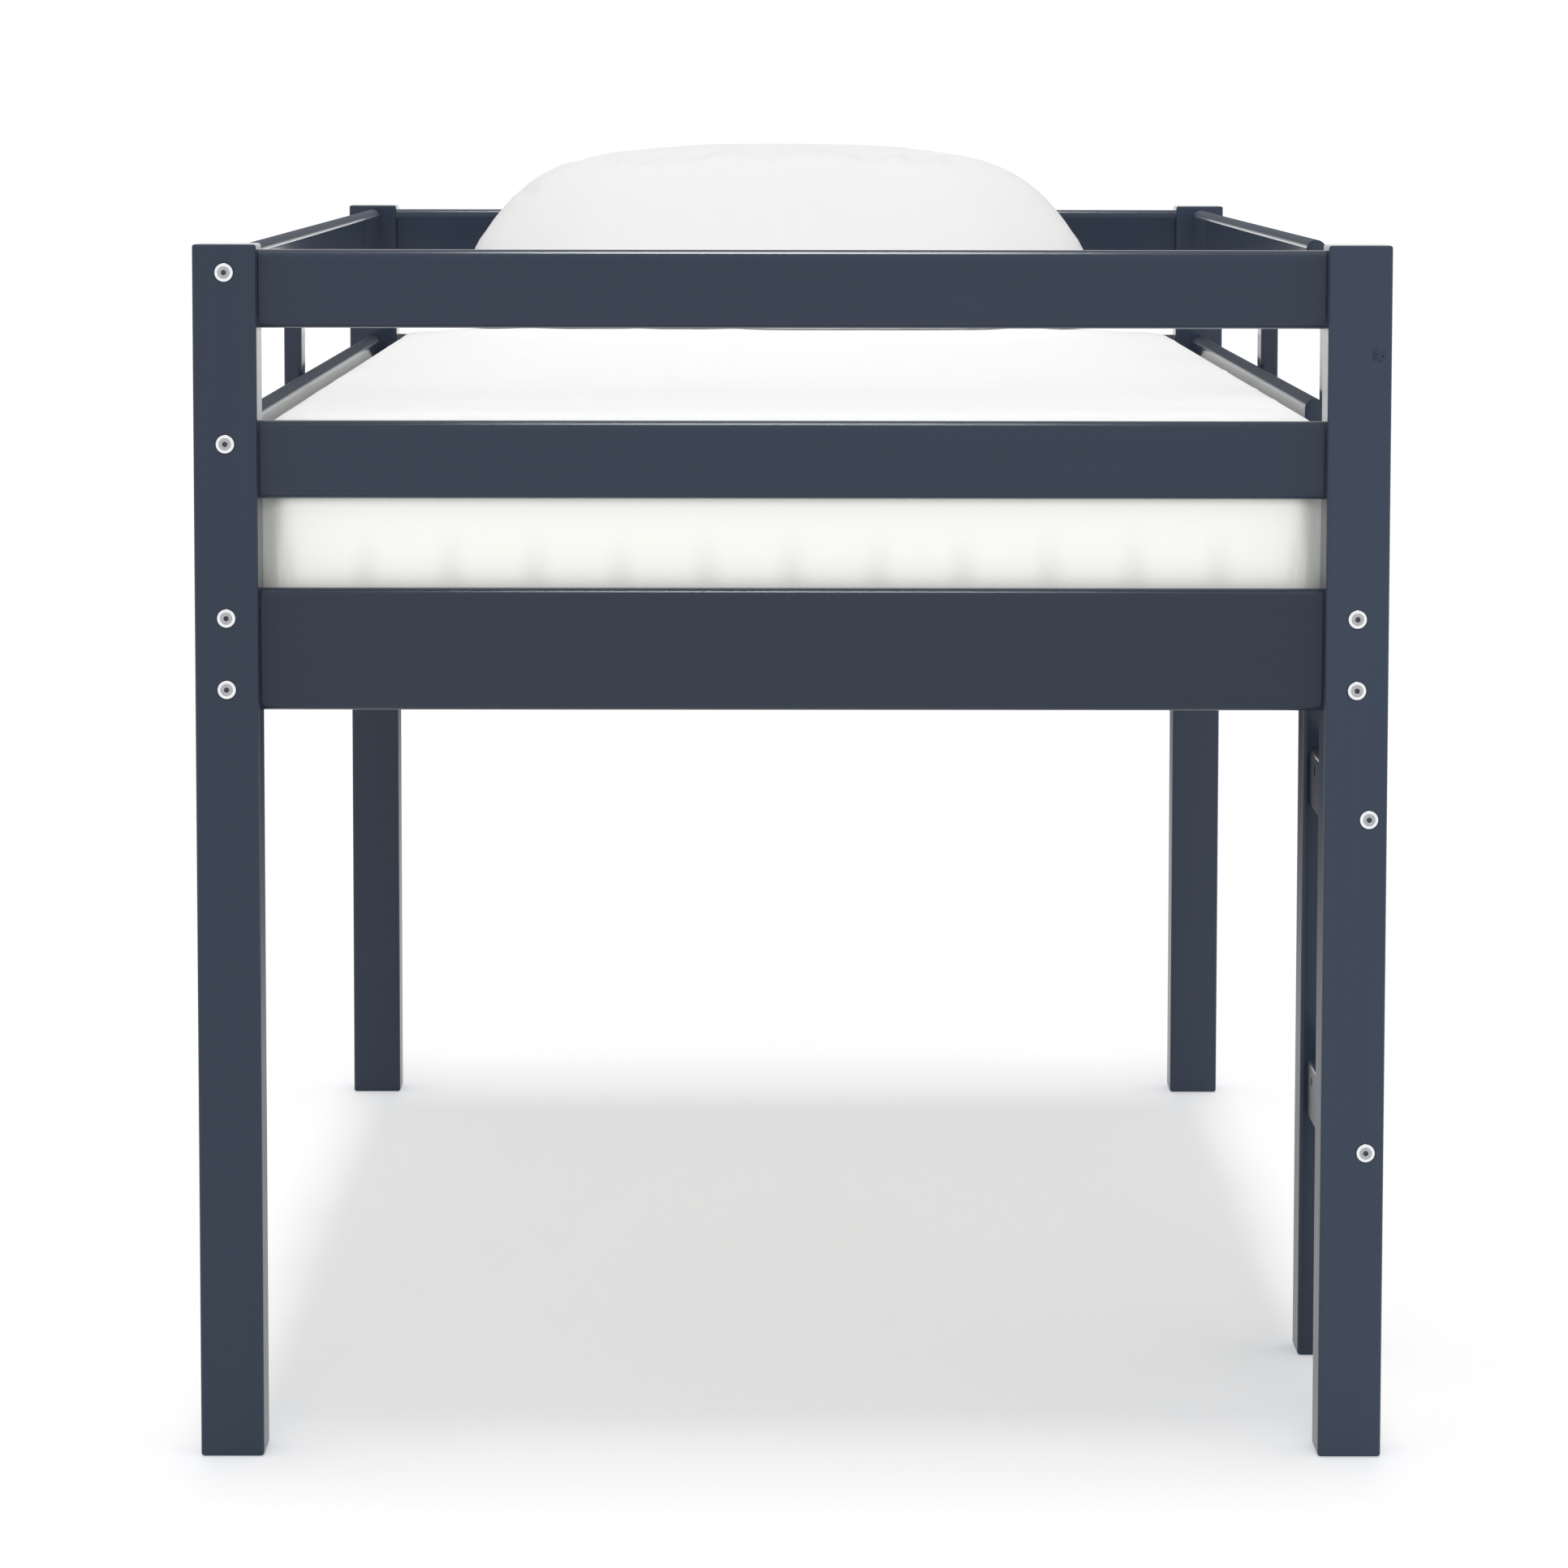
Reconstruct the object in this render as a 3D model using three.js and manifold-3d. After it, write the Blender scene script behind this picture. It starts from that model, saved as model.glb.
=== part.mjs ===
// A low loft bed for one child: four square posts, two three-board end panels, side rails with
// guard rails above them, a slatted deck with its mattress and pillow, and a two-rung ladder
// beside the foot end. Millimetres, +Z up. The origin is the middle of the footprint on the
// floor, the foot end is at -Y, and the ladder is on the +X side.
import * as THREE from 'three';
import { mergeVertices } from 'three/addons/utils/BufferGeometryUtils.js';
import Module from 'manifold-3d';

// Outside of the frame
const bedWidth = 1066;
const bedLength = 1981;

// Posts
const postSide = 57;
const postHeight = 1093;
const postRound = 4;
const postEndRound = 2.5;

// Boards: every rail and end board is cut from one thickness, with half-round long edges
const boardThick = 19;
const guardHeight = 70;
const railHeight = 110;

// Heights of the boards and of the deck, down from the top of the posts
const topBoardDrop = 5;
const middleBoardDrop = 157.5;
const railDrop = 307.5;
const deckDrop = 353;

// Tenons of the end boards
const tenonThick = 10;
const tenonLength = 22;
const tenonShoulder = 10;

// Connector bolts with barrel nuts
const boltRadius = 3;
const boltHeadRadius = 8.25;
const boltHeadHeight = 2.8;
const boltHeadRound = 1;
const headRecess = 1.5;
const socketRadius = 3;
const socketDepth = 1.8;
const barrelRadius = 4.8;
const barrelLength = 14;
const barrelInset = 44;
const boltPastBarrel = 3;
const boltFit = 0.4;
const guardBoltDrop = 20;
const railBoltDrop = 25.5;
const railBoltSpacing = 64;

// Bolts that pull a lapped board onto a threaded insert
const insertLength = 13;

// Dowels that stop a board with a single bolt from turning
const dowelRadius = 4;
const dowelReach = 20;
const guardDowelDrop = 52;

// Ladder
const ladderGap = 366;
const ladderPostWidth = 57;
const ladderPostThick = 36.5;
const lapTopDrop = 10;
const rungThick = 26;
const rungHeight = 60;
const rungRound = 5;
const rungInset = 3.5;
const upperRungDrop = 78;
const lowerRungShare = 0.4946;
const rungBoltDrop = 17.5;
const rungDowelDrop = 42;

// Guard braces
const braceWidth = 50;
const braceRound = 4;
const braceBottomRise = 10;
const braceDowelReach = 12;

// Deck
const slatCount = 12;
const slatWidth = 64;
const slatThick = 18;
const slatRound = 2;
const slatEndClearance = 3;
const cleatThick = 22;
const cleatHeight = 28;
const cleatRound = 2;
const cleatEndClearance = 80;
const slatEndInset = 12;

// Mattress
const mattressThick = 205;
const mattressCrown = 4;
const mattressShoulder = 36;
const mattressBulge = 4;
const mattressClearance = 3;

// Pillow
const pillowWidth = 744;
const pillowRise = 200;
const pillowFoot = 80;
const pillowThick = 150;
const pillowLean = THREE.MathUtils.degToRad(66);
const pillowSink = 40;
const pillowPlaceX = -10;
const pillowOutlinePower = 2.9;
const pillowSwellPower = 2.6;
const pillowEdgePower = 0.5;

// Fits and facets
const seat = 0.3;
const overrun = 6;
const roundSteps = 2;
const cornerSteps = 1;
const endSteps = 2;
const hiddenSides = 8;
const barrelSides = 12;
const headSides = 16;

// Places that follow from the sizes above
const postX = (bedWidth - postSide) / 2;
const postY = (bedLength - postSide) / 2;
const outerSetback = (postSide - boardThick) / 2;
const clearWidth = bedWidth - 2 * postSide;
const clearLength = bedLength - 2 * postSide;
const boardInnerX = postX - boardThick / 2;
const boardInnerY = postY - boardThick / 2;
const topBoardTop = postHeight - topBoardDrop;
const middleBoardTop = postHeight - middleBoardDrop;
const railTop = postHeight - railDrop;
const deckHeight = postHeight - deckDrop;
const upperRungTop = railTop - railHeight - upperRungDrop;
const lowerRungTop = upperRungTop * lowerRungShare;
const levels = [
  { name: 'top', top: topBoardTop, height: guardHeight },
  { name: 'middle', top: middleBoardTop, height: guardHeight },
  { name: 'bottom', top: railTop, height: railHeight },
];
const guards = levels.slice(0, 2);
const railBoltDrops = [railBoltDrop, railBoltDrop + railBoltSpacing];
const rungs = [
  { name: 'upper', top: upperRungTop },
  { name: 'lower', top: lowerRungTop },
];
const rungX = bedWidth / 2 - rungInset - rungThick / 2;
const ladderPostY = -postY + postSide / 2 + ladderGap + ladderPostWidth / 2;
const ladderPostTop = topBoardTop - lapTopDrop;
const lapThick = outerSetback - seat;
const rightGuardFront = ladderPostY - ladderPostWidth / 2;
const rightGuardBack = postY - postSide / 2 - seat;
const rightGuardLength = rightGuardBack - rightGuardFront;
const rightGuardY = (rightGuardFront + rightGuardBack) / 2;
const railLength = clearLength - 2 * seat;

const wasm = await Module();
wasm.setup();

const paint = new THREE.MeshStandardMaterial({ color: 0x3e4653, roughness: 0.35, metalness: 0 });
const pine = new THREE.MeshStandardMaterial({ color: 0xd8b98c, roughness: 0.7, metalness: 0 });
const zinc = new THREE.MeshStandardMaterial({ color: 0xb8bbbe, roughness: 0.35, metalness: 1 });
const ticking = new THREE.MeshStandardMaterial({ color: 0xf3f3ee, roughness: 0.9, metalness: 0 });
const cotton = new THREE.MeshStandardMaterial({ color: 0xf1f1f2, roughness: 0.95, metalness: 0 });

// Solids from three.js geometry, and back

function solidFrom(geometry) {
  geometry.deleteAttribute('normal');
  geometry.deleteAttribute('uv');
  const merged = mergeVertices(geometry);
  const vertProperties = new Float32Array(merged.attributes.position.array);
  const triVerts = new Uint32Array(merged.index.array);
  return new wasm.Manifold(new wasm.Mesh({ numProp: 3, vertProperties, triVerts }));
}

function geometryFrom(solid) {
  const { vertProperties, triVerts } = solid.getMesh();
  const geometry = new THREE.BufferGeometry();
  geometry.setAttribute('position', new THREE.BufferAttribute(vertProperties, 3));
  geometry.setIndex(new THREE.BufferAttribute(triVerts, 1));
  geometry.computeVertexNormals();
  return geometry;
}

function piece(name, solid, material, x, y, z) {
  const mesh = new THREE.Mesh(geometryFrom(solid), material);
  mesh.name = name;
  mesh.position.set(x, y, z);
  return mesh;
}

function block(sizeX, sizeY, sizeZ, x, y, z) {
  return solidFrom(new THREE.BoxGeometry(sizeX, sizeY, sizeZ).translate(x, y, z));
}

// A rod that starts at a point and runs along one axis; a negative length runs the other way
function rodAlongY(radius, length, x, y, z, sides = hiddenSides) {
  const rod = new THREE.CylinderGeometry(radius, radius, Math.abs(length), sides);
  return solidFrom(rod.translate(x, y + length / 2, z));
}

function rodAlongX(radius, length, x, y, z, sides = hiddenSides) {
  const rod = new THREE.CylinderGeometry(radius, radius, Math.abs(length), sides);
  return solidFrom(rod.rotateZ(Math.PI / 2).translate(x + length / 2, y, z));
}

function roundedRectangle(width, height, radius) {
  const x = width / 2 - radius;
  const y = height / 2 - radius;
  const outline = new THREE.Shape();
  outline.absarc(x, y, radius, 0, Math.PI / 2);
  outline.absarc(-x, y, radius, Math.PI / 2, Math.PI);
  outline.absarc(-x, -y, radius, Math.PI, 1.5 * Math.PI);
  outline.absarc(x, -y, radius, 1.5 * Math.PI, 2 * Math.PI);
  return outline;
}

// A stick standing on z = 0 with rounded long edges and eased ends
function uprightStick(sizeX, sizeY, height, edgeRound, endRound) {
  const stick = new THREE.ExtrudeGeometry(roundedRectangle(sizeX, sizeY, edgeRound), {
    depth: height - 2 * endRound,
    bevelThickness: endRound,
    bevelSize: endRound,
    bevelOffset: -endRound,
    bevelSegments: endSteps,
    curveSegments: cornerSteps,
  });
  return solidFrom(stick.translate(0, 0, endRound));
}

// A board lying along Y, centred on x and y, with its lower edge on z = 0
function lyingBoard(thick, height, length, edgeRound, steps) {
  const board = new THREE.ExtrudeGeometry(roundedRectangle(thick, height, edgeRound), {
    depth: length,
    bevelEnabled: false,
    curveSegments: steps,
  });
  board.translate(0, 0, -length / 2).rotateX(Math.PI / 2);
  return solidFrom(board.translate(0, 0, height / 2));
}

// Connector bolts: the axis is Y, and the underside of the head is at y = 0

function boltHead() {
  const profile = [
    [0, -boltHeadHeight],
    [boltHeadRadius - 2 * boltHeadRound, -boltHeadHeight],
    [boltHeadRadius, boltHeadRound - boltHeadHeight],
    [boltHeadRadius, 0],
    [0, 0],
  ];
  const points = profile.map(([radius, along]) => new THREE.Vector2(radius, along));
  const head = solidFrom(new THREE.LatheGeometry(points, headSides));
  const socket = new THREE.CylinderGeometry(socketRadius, socketRadius, 2 * socketDepth, 6);
  return head.subtract(solidFrom(socket.translate(0, -boltHeadHeight, 0)));
}

function shankTo(end) {
  const root = (socketDepth - boltHeadHeight) / 2;
  return rodAlongY(boltRadius, end - root, 0, root, 0);
}

// Through a post of the given depth, then through a barrel nut that lies across the bolt
function barrelBolt(depth) {
  const grip = depth - headRecess + seat + barrelInset;
  const barrel = rodAlongX(barrelRadius, barrelLength, -barrelLength / 2, grip, 0, barrelSides);
  return boltHead().add(shankTo(grip + barrelRadius + boltPastBarrel)).add(barrel);
}

// Through a lap, into a threaded insert in the board behind it
function insertBolt() {
  const face = lapThick - headRecess + 3 * seat;
  const insert = rodAlongY(barrelRadius, insertLength, 0, face, 0, barrelSides);
  return boltHead().add(shankTo(face + seat)).add(insert);
}

// Cuts a bolt's hole through a post and the shallow recess that its head sits in
function boltHoleAlongY(solid, x, z, depth, headSide) {
  const hole = rodAlongY(boltRadius + boltFit, depth + 2 * overrun, x, -depth / 2 - overrun, z);
  const recess = rodAlongY(
    boltHeadRadius + boltFit,
    -headSide * (headRecess + overrun),
    x,
    headSide * (depth / 2 + overrun),
    z,
    headSides,
  );
  return solid.subtract(hole).subtract(recess);
}

// Cuts the end hole and the cross hole for one barrel nut, the cross hole from the hidden side
function barrelHole(solid, end, length, thick, inward, z) {
  const depth = barrelInset + barrelRadius + boltPastBarrel + boltFit;
  const endHole = rodAlongY(
    boltRadius + boltFit,
    -end * (depth + overrun),
    0,
    end * (length / 2 + overrun),
    z,
  );
  const crossDepth = thick / 2 + barrelLength / 2 + seat;
  const crossHole = rodAlongX(
    barrelRadius + seat,
    -inward * (crossDepth + overrun),
    inward * (thick / 2 + overrun),
    end * (length / 2 + seat - barrelInset),
    z,
    barrelSides,
  );
  return solid.subtract(endHole).subtract(crossHole);
}

function endDowel(solid, end, length, z) {
  const stub = rodAlongY(
    dowelRadius,
    end * (dowelReach + overrun),
    0,
    end * (length / 2 - overrun),
    z,
  );
  return solid.add(stub);
}

function dowelHoleAlongY(solid, x, z, depth, side) {
  const hole = rodAlongY(
    dowelRadius + seat,
    -side * (dowelReach + overrun),
    x,
    side * (depth / 2 + overrun),
    z,
  );
  return solid.subtract(hole);
}

// Posts: mortised on one face for the end boards, drilled on the next for the rails

function post(inX, inY, railLevels, withRungs) {
  let solid = uprightStick(postSide, postSide, postHeight, postRound, postEndRound);
  for (const { top, height } of levels) {
    const reach = tenonLength + 2 * seat;
    const mortise = block(
      reach + overrun,
      tenonThick + 2 * seat,
      height - 2 * tenonShoulder + 2 * seat,
      inX * (postSide / 2 + (overrun - reach) / 2),
      0,
      top - height / 2,
    );
    solid = solid.subtract(mortise);
  }
  for (const { top, boltDrops, dowelDrop } of railLevels) {
    for (const drop of boltDrops) {
      solid = boltHoleAlongY(solid, 0, top - drop, postSide, -inY);
    }
    if (dowelDrop) {
      solid = dowelHoleAlongY(solid, 0, top - dowelDrop, postSide, inY);
    }
  }
  if (withRungs) {
    for (const { top } of rungs) {
      solid = boltHoleAlongY(solid, rungX - postX, top - rungBoltDrop, postSide, -inY);
      solid = dowelHoleAlongY(solid, rungX - postX, top - rungDowelDrop, postSide, inY);
    }
  }
  return solid;
}

function endBoard(height) {
  const length = clearWidth - 2 * seat;
  const blank = lyingBoard(boardThick, height, length, boardThick / 2, roundSteps);
  const tenons = block(
    tenonThick,
    length + 2 * tenonLength,
    height - 2 * tenonShoulder,
    0,
    0,
    height / 2,
  );
  return blank.add(tenons);
}

function endPanel(label, inY, rightRailLevels, withRungs) {
  const panel = new THREE.Group();
  panel.position.y = -inY * postY;
  panel.add(piece(`${label}_left_post`, post(1, inY, allRailLevels, false), paint, -postX, 0, 0));
  const rightPost = post(-1, inY, rightRailLevels, withRungs);
  panel.add(piece(`${label}_right_post`, rightPost, paint, postX, 0, 0));
  for (const { name, top, height } of levels) {
    const board = piece(`${label}_${name}_board`, endBoard(height), paint, 0, 0, top - height);
    board.rotation.z = Math.PI / 2;
    panel.add(board);
  }
  return panel;
}

// Rails: full-length ones run from post to post, the right guards from the ladder post

const guardRailLevels = guards.map(({ name, top, height }) => ({
  name: `${name}_guard`,
  top,
  height,
  boltDrops: [guardBoltDrop],
  dowelDrop: guardDowelDrop,
}));
const sideRailLevel = {
  name: 'side',
  top: railTop,
  height: railHeight,
  boltDrops: railBoltDrops,
};
const allRailLevels = [...guardRailLevels, sideRailLevel];

function rail(level, length, ends, inward) {
  const { height, boltDrops, dowelDrop } = level;
  let solid = lyingBoard(boardThick, height, length, boardThick / 2, roundSteps);
  for (const end of ends) {
    for (const drop of boltDrops) {
      solid = barrelHole(solid, end, length, boardThick, inward, height - drop);
    }
    if (dowelDrop) {
      solid = endDowel(solid, end, length, height - dowelDrop);
    }
  }
  return solid;
}

// Blind holes at mid-height in the outer face of a rail

function insertHole(solid, inward, y, height) {
  const start = -inward * (boardThick / 2 + overrun);
  const reach = inward * (insertLength + 4 * seat + overrun);
  const hole = rodAlongX(barrelRadius + seat, reach, start, y, height / 2, barrelSides);
  return solid.subtract(hole);
}

function braceDowelHole(solid, inward, y, height) {
  const start = -inward * (boardThick / 2 + overrun);
  const reach = inward * (braceDowelReach + 2 * seat + overrun);
  return solid.subtract(rodAlongX(dowelRadius + seat, reach, start, y, height / 2));
}

function leftRails() {
  const side = new THREE.Group();
  side.position.x = -postX;
  for (const level of allRailLevels) {
    const braceHole = level === sideRailLevel ? insertHole : braceDowelHole;
    const solid = braceHole(rail(level, railLength, [-1, 1], 1), 1, 0, level.height);
    side.add(piece(`left_${level.name}_rail`, solid, paint, 0, 0, level.top - level.height));
  }
  return side;
}

function rightRails() {
  const side = new THREE.Group();
  side.position.x = postX;
  for (const level of allRailLevels) {
    const isGuard = level !== sideRailLevel;
    const length = isGuard ? rightGuardLength : railLength;
    const centre = isGuard ? rightGuardY : 0;
    const braceHole = isGuard ? braceDowelHole : insertHole;
    let solid = rail(level, length, isGuard ? [1] : [-1, 1], -1);
    solid = braceHole(solid, -1, rightGuardY - centre, level.height);
    solid = insertHole(solid, -1, ladderPostY - centre, level.height);
    side.add(piece(`right_${level.name}_rail`, solid, paint, 0, centre, level.top - level.height));
  }
  return side;
}

// Guard braces: a flat upright outside the rails, flush with the faces of the posts

const braceBottom = railTop - railHeight + braceBottomRise;
const braceTop = topBoardTop - lapTopDrop;

// Cuts an insert bolt's hole and head recess through a lap, in from its outer face
function lapBoltHole(solid, outer, faceX, z) {
  const start = faceX + outer * overrun;
  const hole = rodAlongX(boltRadius + boltFit, -outer * (lapThick + 2 * overrun), start, 0, z);
  const recessReach = -outer * (headRecess + overrun);
  const recess = rodAlongX(boltHeadRadius + boltFit, recessReach, start, 0, z, headSides);
  return solid.subtract(hole).subtract(recess);
}

function brace(outer) {
  const height = braceTop - braceBottom;
  let solid = uprightStick(lapThick, braceWidth, height, braceRound, postEndRound);
  for (const { top, height: boardHeight } of guards) {
    const z = top - boardHeight / 2 - braceBottom;
    const reach = -outer * (braceDowelReach + seat + overrun);
    solid = solid.add(rodAlongX(dowelRadius, reach, -outer * (lapThick / 2 - overrun), 0, z));
  }
  return lapBoltHole(solid, outer, outer * lapThick / 2, railTop - railHeight / 2 - braceBottom);
}

function braces() {
  const group = new THREE.Group();
  const x = (bedWidth - lapThick) / 2;
  group.add(piece('left_guard_brace', brace(-1), paint, -x, 0, braceBottom));
  group.add(piece('right_guard_brace', brace(1), paint, x, rightGuardY, braceBottom));
  return group;
}

// Ladder: the rungs join the foot right post to a ladder post that stops under the side rail
// on its inner half and laps the rails with its outer half

function ladderPost() {
  let solid = uprightStick(ladderPostThick, ladderPostWidth, ladderPostTop, postRound, postEndRound);
  const notchBottom = railTop - railHeight - seat;
  const notch = block(
    ladderPostThick,
    ladderPostWidth + 2 * overrun,
    ladderPostTop - notchBottom + overrun,
    -lapThick,
    0,
    (ladderPostTop + notchBottom + overrun) / 2,
  );
  solid = solid.subtract(notch);
  const rungAt = rungX - ladderPostX;
  for (const { top } of rungs) {
    solid = boltHoleAlongY(solid, rungAt, top - rungBoltDrop, ladderPostWidth, 1);
    solid = dowelHoleAlongY(solid, rungAt, top - rungDowelDrop, ladderPostWidth, -1);
  }
  for (const { top, height } of levels) {
    solid = lapBoltHole(solid, 1, ladderPostThick / 2, top - height / 2);
  }
  return solid;
}

const ladderPostX = (bedWidth - ladderPostThick) / 2;

function rung() {
  const length = ladderGap - 2 * seat;
  let solid = lyingBoard(rungThick, rungHeight, length, rungRound, cornerSteps);
  for (const end of [-1, 1]) {
    solid = barrelHole(solid, end, length, rungThick, -1, rungHeight - rungBoltDrop);
    solid = endDowel(solid, end, length, rungHeight - rungDowelDrop);
  }
  return solid;
}

function ladder() {
  const group = new THREE.Group();
  group.add(piece('ladder_post', ladderPost(), paint, ladderPostX, ladderPostY, 0));
  const rungY = ladderPostY - (ladderPostWidth + ladderGap) / 2;
  for (const { name, top } of rungs) {
    group.add(piece(`${name}_rung`, rung(), paint, rungX, rungY, top - rungHeight));
  }
  return group;
}

// Bolts where the photograph's bolts are, and their matches at the head end

const headSeat = headRecess - seat;

function boltAlongY(name, solid, x, y, z, inY) {
  const bolt = piece(name, solid, zinc, x, y + inY * headSeat, z);
  bolt.rotation.z = inY > 0 ? 0 : Math.PI;
  return bolt;
}

function postBolts(label, side, inY, railLevels) {
  const group = new THREE.Group();
  const face = -inY * bedLength / 2;
  const solid = barrelBolt(postSide);
  for (const { name, top, boltDrops } of railLevels) {
    boltDrops.forEach((drop, index) => {
      const row = boltDrops.length > 1 ? `_${index + 1}` : '';
      const boltName = `${label}_${name}_bolt${row}`;
      group.add(boltAlongY(boltName, solid, side * postX, face, top - drop, inY));
    });
  }
  return group;
}

function rungBolts() {
  const group = new THREE.Group();
  const postFace = -bedLength / 2;
  const ladderFace = ladderPostY + ladderPostWidth / 2;
  const postBolt = barrelBolt(postSide);
  const ladderBolt = barrelBolt(ladderPostWidth);
  for (const { name, top } of rungs) {
    const z = top - rungBoltDrop;
    group.add(boltAlongY(`${name}_rung_front_bolt`, postBolt, rungX, postFace, z, 1));
    group.add(boltAlongY(`${name}_rung_back_bolt`, ladderBolt, rungX, ladderFace, z, -1));
  }
  return group;
}

function lapBolt(name, outer, y, z) {
  const bolt = piece(name, insertBolt(), zinc, outer * (bedWidth / 2 - headSeat), y, z);
  bolt.rotation.z = outer * Math.PI / 2;
  return bolt;
}

function lapBolts() {
  const group = new THREE.Group();
  for (const { name, top, height } of levels) {
    group.add(lapBolt(`ladder_post_${name}_bolt`, 1, ladderPostY, top - height / 2));
  }
  const z = railTop - railHeight / 2;
  group.add(lapBolt('left_brace_bolt', -1, 0, z));
  group.add(lapBolt('right_brace_bolt', 1, rightGuardY, z));
  return group;
}

// Deck: slats across a cleat along the inside of each side rail

const cleatTop = deckHeight - slatThick - seat;
const cleatLength = clearLength - 2 * cleatEndClearance;

function deck() {
  const group = new THREE.Group();
  const cleat = lyingBoard(cleatThick, cleatHeight, cleatLength, cleatRound, 1);
  const cleatX = boardInnerX - seat - cleatThick / 2;
  group.add(piece('left_slat_cleat', cleat, paint, -cleatX, 0, cleatTop - cleatHeight));
  group.add(piece('right_slat_cleat', cleat, paint, cleatX, 0, cleatTop - cleatHeight));
  const slatLength = 2 * (boardInnerX - slatEndClearance);
  const slat = lyingBoard(slatWidth, slatThick, slatLength, slatRound, 1);
  const firstY = -cleatLength / 2 + slatEndInset + slatWidth / 2;
  const pitch = -2 * firstY / (slatCount - 1);
  for (let index = 0; index < slatCount; index += 1) {
    const name = `slat_${String(index + 1).padStart(2, '0')}`;
    const mesh = piece(name, slat, pine, 0, firstY + index * pitch, deckHeight - slatThick);
    mesh.rotation.z = Math.PI / 2;
    group.add(mesh);
  }
  return group;
}

// Soft parts are skins of rings that share one count of points, closed by a point at each end

function ringSkin(rings, firstPoint, lastPoint) {
  const count = rings[0].length;
  const points = [firstPoint, ...rings.flat(), lastPoint];
  const last = points.length - 1;
  const faces = [];
  for (let step = 0; step < count; step += 1) {
    const next = (step + 1) % count;
    faces.push([0, 1 + next, 1 + step]);
    for (let ring = 0; ring < rings.length - 1; ring += 1) {
      const low = 1 + ring * count;
      const high = low + count;
      faces.push([low + step, low + next, high + next]);
      faces.push([low + step, high + next, high + step]);
    }
    const top = last - count;
    faces.push([top + step, top + next, last]);
  }
  const geometry = new THREE.BufferGeometry();
  geometry.setAttribute('position', new THREE.Float32BufferAttribute(points.flat(), 3));
  geometry.setIndex(faces.flat());
  return geometry;
}

// A level ring round a rectangle with round corners, with extra points along its straight sides
const mattressCornerSteps = 4;
const mattressSideSteps = 4;
const mattressShoulderSteps = 4;
const mattressTopShares = [0.9, 0.7, 0.4];

function levelRing(halfX, halfY, radius, z) {
  const points = [];
  const corners = [[1, 1, 0], [-1, 1, 1], [-1, -1, 2], [1, -1, 3]];
  corners.forEach(([signX, signY, quarter], index) => {
    for (let step = 0; step <= mattressCornerSteps; step += 1) {
      const angle = (quarter + step / mattressCornerSteps) * Math.PI / 2;
      const x = signX * (halfX - radius) + radius * Math.cos(angle);
      const y = signY * (halfY - radius) + radius * Math.sin(angle);
      points.push([x, y, z]);
    }
    const [nextX, nextY] = corners[(index + 1) % corners.length];
    const [fromX, fromY] = points[points.length - 1];
    const quarterEnd = (quarter + 1) * Math.PI / 2;
    const toX = nextX * (halfX - radius) + radius * Math.cos(quarterEnd);
    const toY = nextY * (halfY - radius) + radius * Math.sin(quarterEnd);
    for (let step = 1; step < mattressSideSteps; step += 1) {
      const share = step / mattressSideSteps;
      points.push([fromX + (toX - fromX) * share, fromY + (toY - fromY) * share, z]);
    }
  });
  return points;
}

const mattressHalfX = boardInnerX - mattressClearance;
const mattressHalfY = boardInnerY - mattressClearance;
// The corner's arc passes the post's edge with the mattress's own clearance
const postIntrusion = mattressHalfX - (postX - postSide / 2);
const diagonal = Math.SQRT2;
const mattressCorner = (postIntrusion * diagonal + mattressClearance) / (diagonal - 1);

function mattressGeometry() {
  const rings = [];
  const addRing = (inset, z) => {
    const radius = mattressCorner - inset;
    rings.push(levelRing(mattressHalfX - inset, mattressHalfY - inset, radius, z));
  };
  const edgeTop = mattressThick - mattressCrown;
  const turn = Math.PI / 2 / mattressShoulderSteps;
  for (let step = 0; step <= mattressShoulderSteps; step += 1) {
    const inset = mattressBulge + mattressShoulder * (1 - Math.sin(step * turn));
    addRing(inset, mattressShoulder * (1 - Math.cos(step * turn)));
  }
  addRing(0, edgeTop / 2);
  for (let step = 0; step <= mattressShoulderSteps; step += 1) {
    const inset = mattressBulge + mattressShoulder * (1 - Math.cos(step * turn));
    addRing(inset, edgeTop - mattressShoulder * (1 - Math.sin(step * turn)));
  }
  const inset = mattressBulge + mattressShoulder;
  for (const share of mattressTopShares) {
    const halfX = (mattressHalfX - inset) * share;
    const halfY = (mattressHalfY - inset) * share;
    const z = edgeTop + mattressCrown * (1 - share * share);
    rings.push(levelRing(halfX, halfY, (mattressCorner - inset) * share, z));
  }
  return ringSkin(rings, [0, 0, 0], [0, 0, mattressThick]);
}

// The pillow lies in its own plane first: a rounded outline, fullest near its lower edge
const pillowRoundPoints = 36;
const pillowRingShares = [0.3, 0.55, 0.75, 0.88, 0.96];

function pillowRing(share, side) {
  const swell = (1 - share ** pillowSwellPower) ** pillowEdgePower;
  const points = [];
  for (let step = 0; step < pillowRoundPoints; step += 1) {
    const angle = step / pillowRoundPoints * 2 * Math.PI;
    const cos = Math.cos(angle);
    const sin = Math.sin(angle);
    const power = 2 / pillowOutlinePower;
    const x = pillowWidth / 2 * share * Math.sign(cos) * Math.abs(cos) ** power;
    const reach = sin > 0 ? pillowRise : pillowFoot;
    const y = reach * share * Math.sign(sin) * Math.abs(sin) ** power;
    points.push([x, y, side * pillowThick / 2 * swell]);
  }
  return points;
}

function pillowGeometry() {
  const under = pillowRingShares.map((share) => pillowRing(share, -1));
  const over = pillowRingShares.map((share) => pillowRing(share, 1)).reverse();
  const rings = [...under, pillowRing(1, 0), ...over];
  return ringSkin(rings, [0, 0, -pillowThick / 2], [0, 0, pillowThick / 2]);
}

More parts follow.
